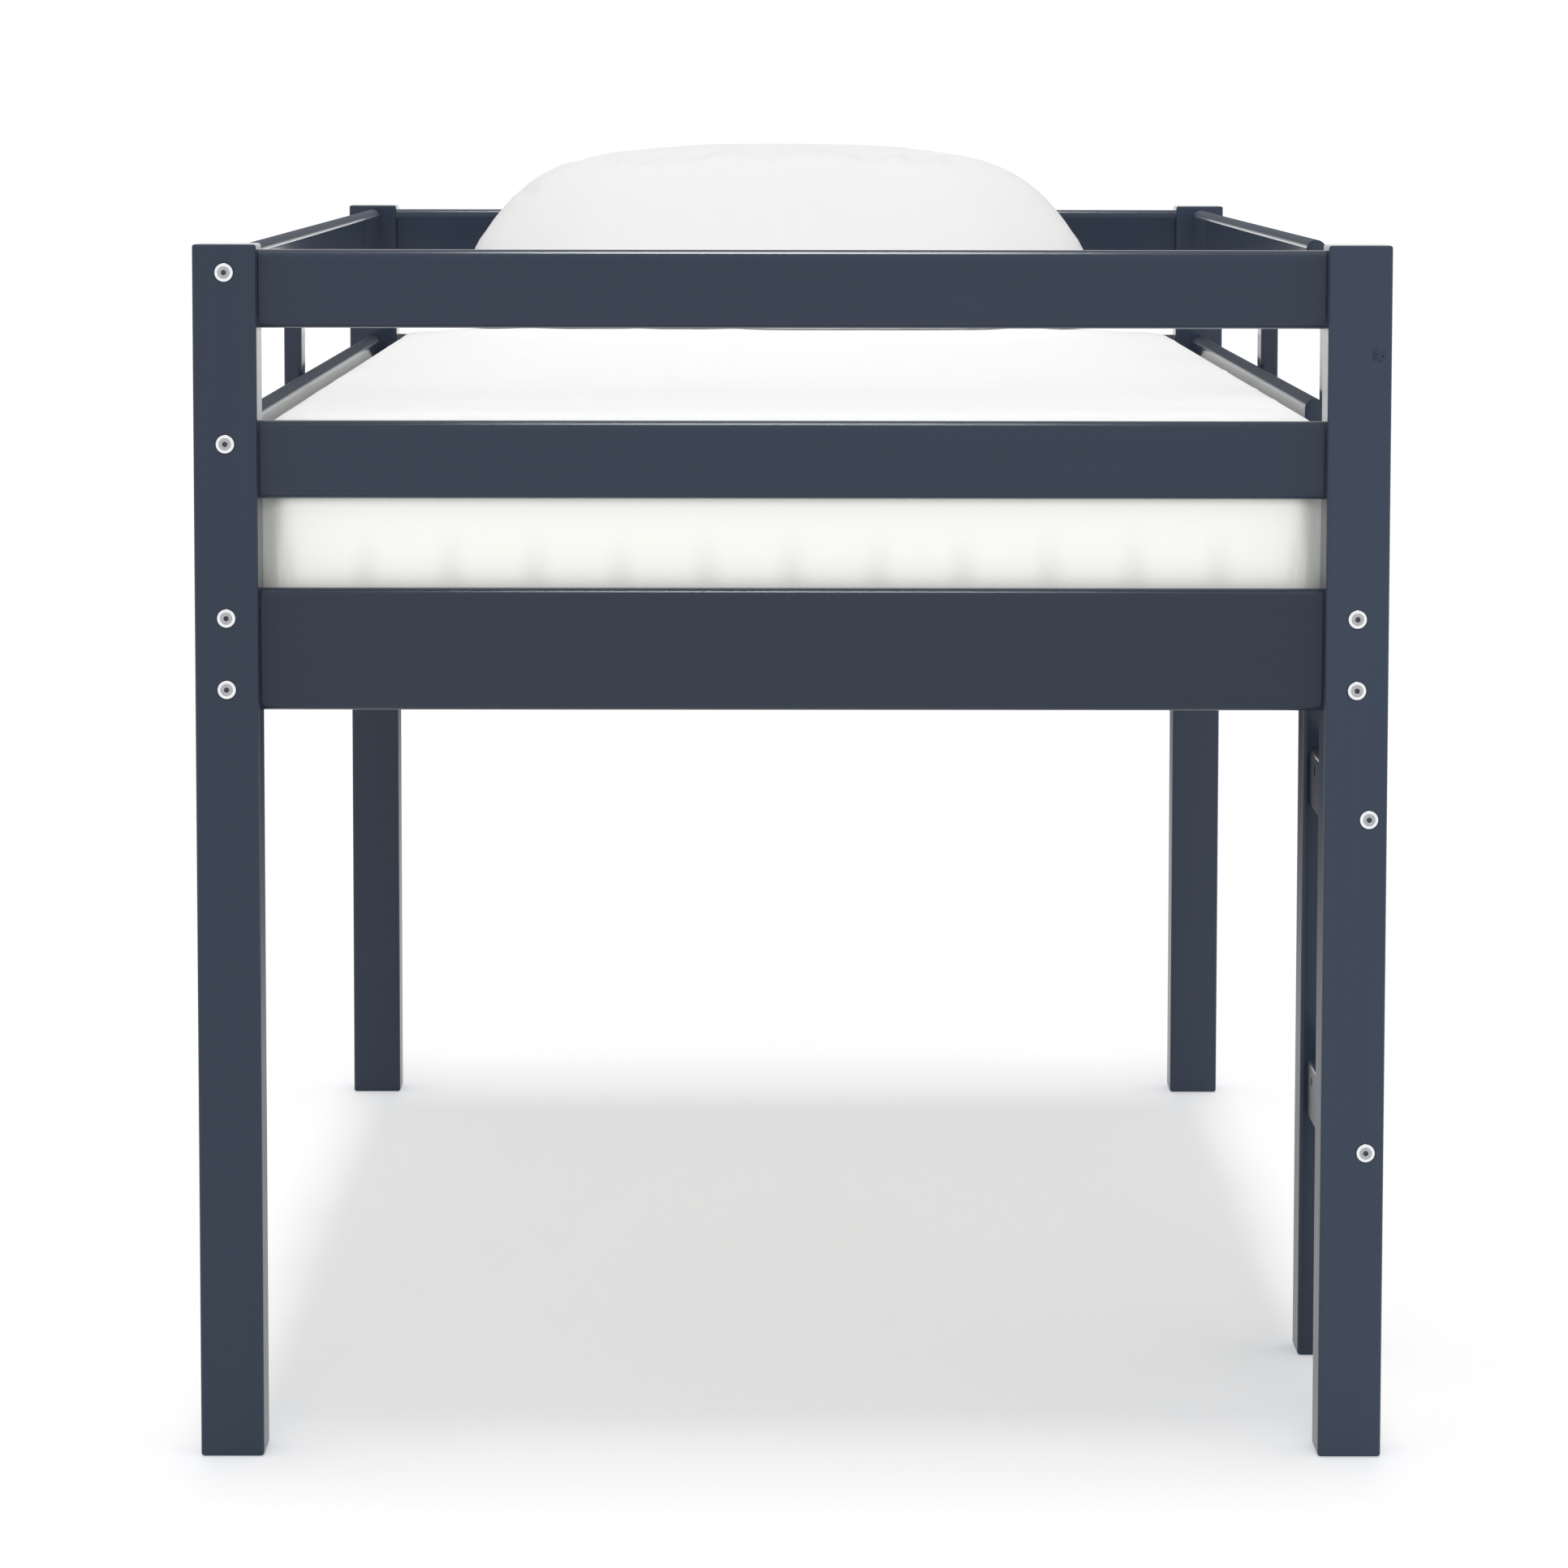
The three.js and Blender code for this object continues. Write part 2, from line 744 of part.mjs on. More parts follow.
// Leans the pillow back, slides it against the head end and lets it settle into the mattress
function pillowSolid(mattressTop) {
  const geometry = pillowGeometry().rotateX(pillowLean);
  geometry.computeBoundingBox();
  const lift = mattressTop - pillowSink - geometry.boundingBox.min.z;
  const position = geometry.attributes.position;
  let back = -Infinity;
  for (let index = 0; index < position.count; index += 1) {
    if (position.getZ(index) + lift < topBoardTop) {
      back = Math.max(back, position.getY(index));
    }
  }
  geometry.translate(pillowPlaceX, boardInnerY - seat - back, lift);
  const raised = solidFrom(mattressGeometry().translate(0, 0, deckHeight + 2 * seat));
  const boardZone = block(
    bedWidth,
    boardThick + 2 * seat,
    topBoardTop + seat,
    0,
    postY,
    (topBoardTop + seat) / 2,
  );
  return solidFrom(geometry).subtract(raised).subtract(boardZone);
}

function bedding() {
  const group = new THREE.Group();
  const mattress = solidFrom(mattressGeometry());
  group.add(piece('mattress', mattress, ticking, 0, 0, deckHeight + seat));
  const pillow = pillowSolid(deckHeight + seat + mattressThick);
  group.add(piece('pillow', pillow, cotton, 0, 0, 0));
  return group;
}

const loftBed = new THREE.Group();
loftBed.add(endPanel('foot', 1, [sideRailLevel], true));
loftBed.add(endPanel('head', -1, allRailLevels, false));
loftBed.add(leftRails(), rightRails(), braces(), ladder());
loftBed.add(postBolts('foot_left', -1, 1, allRailLevels));
loftBed.add(postBolts('foot_right', 1, 1, [sideRailLevel]));
loftBed.add(postBolts('head_left', -1, -1, allRailLevels));
loftBed.add(postBolts('head_right', 1, -1, allRailLevels));
loftBed.add(rungBolts(), lapBolts(), deck(), bedding());

export default loftBed;
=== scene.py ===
import math

import bmesh
import bpy
from mathutils import Matrix, Vector
from mathutils.bvhtree import BVHTree
from mathutils.noise import noise as wander_at


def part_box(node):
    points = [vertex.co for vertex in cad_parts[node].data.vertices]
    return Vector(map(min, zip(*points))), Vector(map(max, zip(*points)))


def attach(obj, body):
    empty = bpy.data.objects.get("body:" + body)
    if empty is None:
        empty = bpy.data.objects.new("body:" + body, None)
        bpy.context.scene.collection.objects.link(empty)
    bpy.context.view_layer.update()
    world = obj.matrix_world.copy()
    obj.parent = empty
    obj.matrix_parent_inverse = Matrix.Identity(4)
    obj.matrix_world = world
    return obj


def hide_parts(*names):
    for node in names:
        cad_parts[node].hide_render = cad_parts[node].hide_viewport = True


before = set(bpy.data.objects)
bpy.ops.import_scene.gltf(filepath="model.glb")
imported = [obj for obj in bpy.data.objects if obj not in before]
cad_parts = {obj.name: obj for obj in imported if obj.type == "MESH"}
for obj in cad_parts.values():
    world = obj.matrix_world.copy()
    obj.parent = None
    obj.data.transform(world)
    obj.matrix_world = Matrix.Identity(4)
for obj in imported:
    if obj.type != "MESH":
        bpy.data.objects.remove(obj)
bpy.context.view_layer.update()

# Corner posts. Square pine, planed, its long edges and both ends eased, then painted slate blue,
# the right pair lighter, as painted light from the right. Each is mortised for the end boards on
# one face and drilled on the next for the rails, and every bolt head sits in a shallow round
# recess.
POST_SIDE = 0.057
POST_ROUND = 0.004
POST_END_ROUND = 0.0025
SEAT = 0.0003
OVERRUN = 0.006
NEARLY = 0.00001
PARALLEL = 0.99
SMOOTH_ANGLE = math.radians(32)
BORE_SIDES = 16
HEAD_SIDES = 48
MORTISE_MOUTH = 0.47
BOLT_HOLE_RADIUS = 0.0034
RECESS_RADIUS = 0.0090
RECESS_DEPTH = 0.0015
DOWEL_RADIUS = 0.004
DOWEL_REACH = 0.020
TENON_THICK = 0.010
TENON_LENGTH = 0.022
TENON_SHOULDER = 0.010
X_AXIS, Y_AXIS, Z_AXIS = range(3)


def only(piece):
    """Makes one object the selected and active one."""
    bpy.ops.object.select_all(action="DESELECT")
    piece.select_set(True)
    bpy.context.view_layer.objects.active = piece


def stock(name, low, high):
    """Timber sawn square between two corners."""
    low, high = Vector(low), Vector(high)
    bpy.ops.object.select_all(action="DESELECT")
    bpy.ops.mesh.primitive_cube_add(size=1, location=(low + high) / 2, scale=high - low)
    timber = bpy.context.object
    timber.name = timber.data.name = name
    bpy.ops.object.transform_apply(location=True, rotation=True, scale=True)
    return timber


def ease(timber, radius, picks, segments):
    """Rounds the edges whose two ends a test picks."""
    only(timber)
    bpy.ops.object.mode_set(mode="EDIT")
    bpy.ops.mesh.select_mode(type="EDGE")
    bpy.ops.mesh.select_all(action="DESELECT")
    mesh = bmesh.from_edit_mesh(timber.data)
    for edge in mesh.edges:
        edge.select_set(picks(edge.verts[0].co, edge.verts[1].co))
    bmesh.update_edit_mesh(timber.data)
    bpy.ops.mesh.bevel(offset=radius, segments=segments, profile=0.5, clamp_overlap=False)
    bpy.ops.mesh.select_all(action="SELECT")
    bpy.ops.mesh.remove_doubles(threshold=NEARLY)
    bpy.ops.object.mode_set(mode="OBJECT")


def ease_along(timber, axis, radius, segments=5):
    """Rounds the four long edges."""
    ease(timber, radius, lambda a, b: abs((b - a).normalized()[axis]) > PARALLEL, segments)


def ease_ends(timber, axis, radius, segments=3):
    """Rounds the rims of both ends."""
    places = [vertex.co[axis] for vertex in timber.data.vertices]
    ends = (min(places), max(places))
    ease(timber, radius, lambda a, b: any(
        abs(a[axis] - end) < NEARLY and abs(b[axis] - end) < NEARLY for end in ends), segments)


def rod(radius, start, end, sides=32):
    """A round peg, or the cutter for a round hole, between two points."""
    start, end = Vector(start), Vector(end)
    turn = (end - start).to_track_quat("Z", "Y").to_euler()
    bpy.ops.object.select_all(action="DESELECT")
    bpy.ops.mesh.primitive_cylinder_add(
        vertices=sides, radius=radius, depth=(end - start).length,
        location=(start + end) / 2, rotation=turn)
    return bpy.context.object


def joinery(timber, tools, operation="DIFFERENCE"):
    """Cuts tools out of a timber, or glues them to it, and clears them away."""
    bpy.ops.object.select_all(action="DESELECT")
    for tool in tools:
        tool.select_set(True)
    bpy.context.view_layer.objects.active = tools[0]
    bpy.ops.object.join()
    joined = bpy.context.object
    work = timber.modifiers.new("joinery", "BOOLEAN")
    work.operation, work.object, work.use_self = operation, joined, True
    only(timber)
    bpy.ops.object.modifier_apply(modifier=work.name)
    bpy.data.objects.remove(joined)


class Wire:
    """A socket in a node tree. Sums on it add Math nodes, and node() adds any other node."""

    def __init__(self, tree, socket=None):
        self.tree = tree
        self.socket = socket

    def node(self, kind, settings=None, sockets=None, output=0):
        made = self.tree.nodes.new(kind)
        for key, value in (settings or {}).items():
            setattr(made, key, value)
        for key, value in (sockets or {}).items():
            if isinstance(value, Wire):
                self.tree.links.new(value.socket, made.inputs[key])
            else:
                made.inputs[key].default_value = value
        return Wire(self.tree, made.outputs[output])

    def out(self, name):
        return Wire(self.tree, self.socket.node.outputs[name])

    def into(self, shader, name):
        self.tree.links.new(self.socket, shader.inputs[name])

    def math(self, operation, first, second=0.0):
        return self.node("ShaderNodeMath", {"operation": operation}, {0: first, 1: second})

    def ramp(self, start, end, first=0.0, last=1.0, kind="LINEAR"):
        return self.node("ShaderNodeMapRange", {"interpolation_type": kind},
                         {0: self, 1: start, 2: end, 3: first, 4: last})

    def __add__(self, other):
        return self.math("ADD", self, other)

    __radd__ = __add__

    def __sub__(self, other):
        return self.math("SUBTRACT", self, other)

    def __rsub__(self, other):
        return self.math("SUBTRACT", other, self)

    def __mul__(self, other):
        return self.math("MULTIPLY", self, other)

    __rmul__ = __mul__

    def __pow__(self, other):
        return self.math("POWER", self, other)


def noise(place, stretch, detail=3, distortion=0):
    """Noise whose grains per metre along each axis are given."""
    spread = place.node("ShaderNodeMapping", sockets={"Vector": place, "Scale": stretch})
    return place.node("ShaderNodeTexNoise", sockets={
        "Vector": spread, "Scale": 1.0, "Detail": detail, "Distortion": distortion})


def blend(share, first, second):
    """A colour between two, by a share."""
    return share.node("ShaderNodeMix", {"data_type": "RGBA"}, {0: share, 6: first, 7: second}, 2)


def emboss(shader, height, strength, distance):
    """Gives a finish a fine relief."""
    height.node("ShaderNodeBump", sockets={
        "Strength": strength, "Distance": distance, "Height": height}).into(shader, "Normal")


def grain_stretch(axis, along, across):
    """Grains per metre that are few along the grain and many across it."""
    return [along if each == axis else across for each in range(3)]


def new_material(name, constants):
    """An empty finish with the constants that hold all over it."""
    material = bpy.data.materials.new(name)
    material.use_nodes = True
    shader = material.node_tree.nodes["Principled BSDF"]
    for socket, value in constants.items():
        shader.inputs[socket].default_value = value
    return material, shader, Wire(material.node_tree)


PAINT_DARK = (0.0247, 0.0357, 0.0570, 1)
PAINT_LIGHT = (0.0297, 0.0418, 0.0660, 1)
PAINT_EDGE_WEAR_AND_HIGHLIGHT = (0.0460, 0.0600, 0.0860, 1)
PAINT_PORES = (9, 1100)
PAINT_RINGS = (1.6, 75)
PAINT_MOTTLE = (2.2, 2.2, 2.2)
PAINT_ROUGHNESS = 0.06
PAINT_RELIEF = 0.00003
ARRIS_SHARPNESS = 4
FACES_INWARD = (0.985, 0.998)
FACES_UP = (0.2, 0.5)
UNDER_RAILS = 0.66
BESIDE_RAILS = 0.79
THIN_AT_FLOOR = 0.17
THIN_UNDER_RAILS = 0.68


def slate_paint(name, axis, dull_top=0.0, edge_wear_and_highlight=0.4, knot=None, painted_light_factor=1.0):
    """Semi-gloss paint with the grain under it just showing, rubbed duller on top of a rail.
    It is thin on the faces that look inward across the space under the bed, most so just
    under the rails. Eased edges are lighter, partly wear and partly a painted highlight. A
    factor scales the colour lighter or darker as painted light or painted shade. A knot is a
    small dent that the paint has not quite filled."""
    material, shader, start = new_material(name, {
        "IOR": 1.3, "Coat IOR": 1.15, "Coat Roughness": 0.05})
    place = start.node("ShaderNodeTexCoord", output="Object")
    pores = noise(place, grain_stretch(axis, *PAINT_PORES))
    rings = noise(place, grain_stretch(axis, *PAINT_RINGS), detail=4, distortion=0.6)
    mottle = noise(place, PAINT_MOTTLE, detail=2)
    normal = start.node("ShaderNodeNewGeometry", output="Normal")
    sides = start.node("ShaderNodeSeparateXYZ", sockets={0: normal})
    flat = start.math("ABSOLUTE", sides)
    spot = start.node("ShaderNodeSeparateXYZ", sockets={0: place})
    inward = start.math("LESS_THAN", sides * spot, 0.0)
    low_down = spot.out("Z").ramp(UNDER_RAILS, BESIDE_RAILS, 1.0, 0.0, "SMOOTHSTEP")
    thin = inward * low_down * flat.ramp(*FACES_INWARD)
    height = start.math("MINIMUM", spot.out("Z") * (1 / UNDER_RAILS), 1.0)
    thinness = thin * (THIN_AT_FLOOR + THIN_UNDER_RAILS * height ** 3)
    for side in "YZ":
        flat = start.math("MAXIMUM", flat, start.math("ABSOLUTE", sides.out(side)))
    arris = start.math("MINIMUM", (1 - flat) * ARRIS_SHARPNESS, 1.0) * (0.35 + 0.65 * rings)
    # The factor scales the colour: painted light above 1, painted shade below 1.
    dark, light = (tuple(part * painted_light_factor for part in each[:3]) + (1,)
                   for each in (PAINT_DARK, PAINT_LIGHT))
    tone = blend(rings * 0.55 + mottle * 0.45, dark, light)
    upward = sides.out("Z").ramp(*FACES_UP)
    if dull_top:
        ((1 - upward) * (1 - thin)).into(shader, "Coat Weight")
    roughness = PAINT_ROUGHNESS + 0.06 * mottle + 0.015 * pores
    (roughness + dull_top * upward + thinness).into(shader, "Roughness")
    relief = 0.7 * rings + 0.12 * pores
    if knot:
        ragged = noise(place, KNOT_GRAIN, detail=1, distortion=0.8)
        away = start.node("ShaderNodeVectorMath", {"operation": "DISTANCE"},
                          {0: place, 1: knot}, "Value")
        dent = (away + KNOT_RAGGED * ragged).ramp(*KNOT_RIM, 1.0, 0.0)
        crack = start.math("ABSOLUTE", ragged - CRACK_LEVEL).ramp(*CRACK_WIDTH, 1.0, 0.0)
        tone = blend(dent * crack * 0.8, tone, KNOT_DARK)
        relief = relief - dent * (KNOT_DEPTH + CRACK_DEPTH * crack)
    # Eased edges blend to a lighter colour: partly wear, partly a painted highlight.
    blend(arris * edge_wear_and_highlight, tone, PAINT_EDGE_WEAR_AND_HIGHLIGHT).into(shader, "Base Color")
    emboss(shader, relief, 0.35, PAINT_RELIEF)
    return material


def fit(piece, finishes, node):
    """Shades a finished piece, dresses it, and puts it in the place of its CAD node."""
    only(piece)
    bpy.ops.object.shade_smooth_by_angle(angle=SMOOTH_ANGLE)
    level = piece.modifiers.new("level", "WEIGHTED_NORMAL")
    level.keep_sharp = True
    bpy.ops.object.modifier_apply(modifier=level.name)
    marks = [face.material_index for face in piece.data.polygons]
    piece.data.materials.clear()
    for finish in finishes:
        piece.data.materials.append(finish)
    piece.data.polygons.foreach_set("material_index", marks)
    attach(piece, "frame")
    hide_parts(node)


KNOT = (0.5205, -0.9905, 0.9955)
KNOT_DARK = (0.004, 0.006, 0.009, 1)
KNOT_GRAIN = (330, 330, 330)
KNOT_RAGGED = 0.006
KNOT_RIM = (0.0080, 0.0100)
KNOT_DEPTH = 20
CRACK_LEVEL = 0.47
CRACK_WIDTH = (0.02, 0.07)
CRACK_DEPTH = 60
# Both right posts take a lighter colour: painted light from the right.
PAINTED_LIGHT_FROM_RIGHT = 1.24
paint_upright = slate_paint("slate_paint_upright", Z_AXIS)
paint_knotted_painted_light = slate_paint("slate_paint_knotted", Z_AXIS, knot=KNOT, painted_light_factor=PAINTED_LIGHT_FROM_RIGHT)
LEVELS = ("top", "middle", "bottom")
GUARD_BOLT_DROPS = [0.020]
GUARD_DOWEL_DROP = 0.052
RAIL_BOLT_DROPS = [0.0255, 0.0895]
RUNG_BOLT_DROP = 0.0175
RUNG_DOWEL_DROP = 0.042


def bolt_hole_cutters(x, face, outward, depth, z):
    """A bolt's hole through wood of some depth, and the recess for its head in one face."""
    through = rod(BOLT_HOLE_RADIUS, (x, face + outward * OVERRUN, z),
                  (x, face - outward * (depth + OVERRUN), z), BORE_SIDES)
    recess = rod(RECESS_RADIUS, (x, face + outward * OVERRUN, z),
                 (x, face - outward * RECESS_DEPTH, z), HEAD_SIDES)
    return [through, recess]


for end, outward in (("foot", -1), ("head", 1)):
    for side, across in (("left", -1), ("right", 1)):
        node = f"{end}_{side}_post"
        low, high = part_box(node)
        post = stock(f"painted_{node}", low, high)
        ease_along(post, Z_AXIS, POST_ROUND)
        ease_ends(post, Z_AXIS, POST_END_ROUND)
        middle = (low + high) / 2
        outer, inner = (low.y, high.y) if outward < 0 else (high.y, low.y)
        holds_guards = (end, side) != ("foot", "right")
        cutters = []
        for level in LEVELS:
            board_low, board_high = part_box(f"{end}_{level}_board")
            tenon_end, mouth = across * (board_high.x + SEAT), across * MORTISE_MOUTH
            cutters.append(stock(
                "mortise",
                (min(tenon_end, mouth), middle.y - TENON_THICK / 2 - SEAT,
                 board_low.z + TENON_SHOULDER - SEAT),
                (max(tenon_end, mouth), middle.y + TENON_THICK / 2 + SEAT,
                 board_high.z - TENON_SHOULDER + SEAT)))
            if level != "bottom" and not holds_guards:
                continue
            drops = RAIL_BOLT_DROPS if level == "bottom" else GUARD_BOLT_DROPS
            for drop in drops:
                cutters += bolt_hole_cutters(
                    middle.x, outer, outward, POST_SIDE, board_high.z - drop)
            if level != "bottom":
                z = board_high.z - GUARD_DOWEL_DROP
                cutters.append(rod(
                    DOWEL_RADIUS + SEAT, (middle.x, inner - outward * OVERRUN, z),
                    (middle.x, inner + outward * DOWEL_REACH, z), BORE_SIDES))
        if not holds_guards:
            for rung in ("upper_rung", "lower_rung"):
                rung_low, rung_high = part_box(rung)
                rung_x = (rung_low.x + rung_high.x) / 2
                cutters += bolt_hole_cutters(
                    rung_x, outer, outward, POST_SIDE, rung_high.z - RUNG_BOLT_DROP)
                z = rung_high.z - RUNG_DOWEL_DROP
                cutters.append(rod(
                    DOWEL_RADIUS + SEAT, (rung_x, inner - outward * OVERRUN, z),
                    (rung_x, inner + outward * DOWEL_REACH, z), BORE_SIDES))
        joinery(post, cutters)
        fit(post, [paint_upright if side == "left" else paint_knotted_painted_light], node)

# End boards. Three to each end, moulded to a full half round along both edges, with a tenon
# at each end that is glued into the posts. The bottom one is as deep as the side rails and
# painted darker, as painted shade low down.
BOARD_THICK = 0.019
BOARD_SEGMENTS = 9
# The bottom boards take a darker colour: painted shade low down.
PAINTED_SHADE_LOW_DOWN = 0.85
paint_crosswise = slate_paint("slate_paint_crosswise", X_AXIS)
paint_deep_board_painted_shade = slate_paint("slate_paint_deep_board", X_AXIS, painted_light_factor=PAINTED_SHADE_LOW_DOWN)

for end in ("foot", "head"):
    for level in LEVELS:
        node = f"{end}_{level}_board"
        low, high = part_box(node)
        shoulder = Vector((TENON_LENGTH, 0, 0))
        board = stock(f"painted_{node}", low + shoulder, high - shoulder)
        ease_along(board, X_AXIS, BOARD_THICK / 2, BOARD_SEGMENTS)
        y = (low.y + high.y) / 2
        tenons = stock("tenons", (low.x, y - TENON_THICK / 2, low.z + TENON_SHOULDER),
                       (high.x, y + TENON_THICK / 2, high.z - TENON_SHOULDER))
        joinery(board, [tenons], "UNION")
        finish = paint_deep_board_painted_shade if level == "bottom" else paint_crosswise
        fit(board, [finish], node)

# Side rails and guard rails. The same moulding as the end boards. Each end is bored for a
# connector bolt, with a cross hole on the inner face for its barrel nut, and the guard rails
# have a glued dowel under the bolt. The right guards stop at the ladder.
BARREL_HOLE_RADIUS = 0.0051
BARREL_HOLE_DEPTH = 0.0168
BARREL_INSET = 0.0437
END_HOLE_DEPTH = 0.0522
INSERT_HOLE_DEPTH = 0.0142
BRACE_DOWEL_DEPTH = 0.0126
RUBBED_TOP = 0.60
LAP_BORE_SIDES = 24
paint_lengthwise = slate_paint("slate_paint_lengthwise", Y_AXIS, dull_top=RUBBED_TOP, edge_wear_and_highlight=0.0)


def barrel_cutters(x, inner_face, inward, end_y, outward, z):
    """The end hole of a connector bolt and the cross hole of its barrel nut."""
    end_hole = rod(BOLT_HOLE_RADIUS, (x, end_y + outward * OVERRUN, z),
                   (x, end_y - outward * END_HOLE_DEPTH, z), BORE_SIDES)
    y = end_y - outward * BARREL_INSET
    cross_hole = rod(BARREL_HOLE_RADIUS, (inner_face + inward * OVERRUN, y, z),
                     (inner_face - inward * BARREL_HOLE_DEPTH, y, z))
    return [end_hole, cross_hole]


post_faces = (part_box("foot_left_post")[1].y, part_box("head_left_post")[0].y)
ladder_low, ladder_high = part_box("ladder_post")
ladder_y = (ladder_low.y + ladder_high.y) / 2
for side, inward in (("left", 1), ("right", -1)):
    brace_low, brace_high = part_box(f"{side}_guard_brace")
    brace_y = (brace_low.y + brace_high.y) / 2
    for level in ("top_guard", "middle_guard", "side"):
        node = f"{side}_{level}_rail"
        low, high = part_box(node)
        guard = level != "side"
        reaches_foot = side == "left" or not guard
        front = post_faces[0] + SEAT if reaches_foot else low.y
        back = post_faces[1] - SEAT
        rail = stock(f"painted_{node}", (low.x, front, low.z), (high.x, back, high.z))
        ease_along(rail, Y_AXIS, BOARD_THICK / 2, BOARD_SEGMENTS)
        x = (low.x + high.x) / 2
        inner, outer = (high.x, low.x) if inward > 0 else (low.x, high.x)
        ends = [(back, 1)] + ([(front, -1)] if reaches_foot else [])
        if guard:
            z = high.z - GUARD_DOWEL_DROP
            joinery(rail, [rod(DOWEL_RADIUS, (x, y - outward * OVERRUN, z),
                               (x, y + outward * DOWEL_REACH, z), BORE_SIDES)
                           for y, outward in ends], "UNION")
        cutters = []
        for y, outward in ends:
            for drop in GUARD_BOLT_DROPS if guard else RAIL_BOLT_DROPS:
                cutters += barrel_cutters(x, inner, inward, y, outward, high.z - drop)
        z = (low.z + high.z) / 2
        laps = [(brace_y, DOWEL_RADIUS + SEAT, BRACE_DOWEL_DEPTH) if guard
                else (brace_y, BARREL_HOLE_RADIUS, INSERT_HOLE_DEPTH)]
        if side == "right":
            laps.append((ladder_y, BARREL_HOLE_RADIUS, INSERT_HOLE_DEPTH))
        for y, radius, depth in laps:
            cutters.append(rod(radius, (outer - inward * OVERRUN, y, z),
                               (outer + inward * depth, y, z), LAP_BORE_SIDES))
        joinery(rail, cutters)
        fit(rail, [paint_lengthwise], node)

# Guard braces. A flat upright outside the rails on each side, flush with the outer faces of
# the posts. Two glued dowels hold it to the guards and a short bolt pulls it to the side rail.
BRACE_ROUND = 0.004

for side, outward in (("left", -1), ("right", 1)):
    node = f"{side}_guard_brace"
    low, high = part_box(node)
    rail_low, rail_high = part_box(f"{side}_side_rail")
    face = rail_high.x + SEAT if outward > 0 else rail_low.x - SEAT
    outer = high.x if outward > 0 else low.x
    brace = stock(f"painted_{node}", (min(face, outer), low.y, low.z),
                  (max(face, outer), high.y, high.z))
    ease_along(brace, Z_AXIS, BRACE_ROUND)
    ease_ends(brace, Z_AXIS, POST_END_ROUND)
    y = (low.y + high.y) / 2
    pegs = []
    for level in ("top_guard", "middle_guard"):
        guard_low, guard_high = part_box(f"{side}_{level}_rail")
        z = (guard_low.z + guard_high.z) / 2
        pegs.append(rod(DOWEL_RADIUS, (face + outward * OVERRUN, y, z),
                        (face - outward * BRACE_DOWEL_DEPTH, y, z), BORE_SIDES))
    joinery(brace, pegs, "UNION")
    z = (rail_low.z + rail_high.z) / 2
    joinery(brace, [
        rod(BOLT_HOLE_RADIUS, (outer + outward * OVERRUN, y, z),
            (face - outward * OVERRUN, y, z), BORE_SIDES),
        rod(RECESS_RADIUS, (outer + outward * OVERRUN, y, z),
            (outer - outward * RECESS_DEPTH, y, z), HEAD_SIDES)])
    fit(brace, [paint_upright], node)

# Ladder. One post of its own on the floor, notched so that its outer half laps the side rail
# and the guards, and two rungs between it and the foot right post, each with a connector bolt
# and a glued dowel at either end.
RUNG_ROUND = 0.005

low, high = ladder_low, ladder_high
ladder_post = stock("painted_ladder_post", low, high)
ease_along(ladder_post, Z_AXIS, POST_ROUND)
ease_ends(ladder_post, Z_AXIS, POST_END_ROUND)
side_low, side_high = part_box("right_side_rail")
notch_face = side_high.x + SEAT
cutters = [stock("notch", (low.x - OVERRUN, low.y - OVERRUN, side_low.z - SEAT),
                 (notch_face, high.y + OVERRUN, high.z + OVERRUN))]
for level in ("top_guard", "middle_guard", "side"):
    rail_low, rail_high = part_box(f"right_{level}_rail")
    z = (rail_low.z + rail_high.z) / 2
    cutters.append(rod(BOLT_HOLE_RADIUS, (high.x + OVERRUN, ladder_y, z),
                       (notch_face - OVERRUN, ladder_y, z), BORE_SIDES))
    cutters.append(rod(RECESS_RADIUS, (high.x + OVERRUN, ladder_y, z),
                       (high.x - RECESS_DEPTH, ladder_y, z), HEAD_SIDES))
for rung in ("upper_rung", "lower_rung"):
    rung_low, rung_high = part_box(rung)
    x = (rung_low.x + rung_high.x) / 2
    cutters += bolt_hole_cutters(x, high.y, 1, POST_SIDE, rung_high.z - RUNG_BOLT_DROP)
    z = rung_high.z - RUNG_DOWEL_DROP
    cutters.append(rod(DOWEL_RADIUS + SEAT, (x, low.y - OVERRUN, z),
                       (x, low.y + DOWEL_REACH, z), BORE_SIDES))
joinery(ladder_post, cutters)
fit(ladder_post, [paint_upright], "ladder_post")

rung_front, rung_back = post_faces[0] + SEAT, ladder_low.y - SEAT
for node in ("upper_rung", "lower_rung"):
    low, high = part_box(node)
    rung = stock(f"painted_{node}", (low.x, rung_front, low.z), (high.x, rung_back, high.z))
    ease_along(rung, Y_AXIS, RUNG_ROUND)
    x = (low.x + high.x) / 2
    ends = ((rung_front, -1), (rung_back, 1))
    z = high.z - RUNG_DOWEL_DROP
    joinery(rung, [rod(DOWEL_RADIUS, (x, y - outward * OVERRUN, z),
                       (x, y + outward * DOWEL_REACH, z), BORE_SIDES)
                   for y, outward in ends], "UNION")
    cutters = []
    for y, outward in ends:
        cutters += barrel_cutters(x, low.x, -1, y, outward, high.z - RUNG_BOLT_DROP)
    joinery(rung, cutters)
    fit(rung, [paint_lengthwise], node)

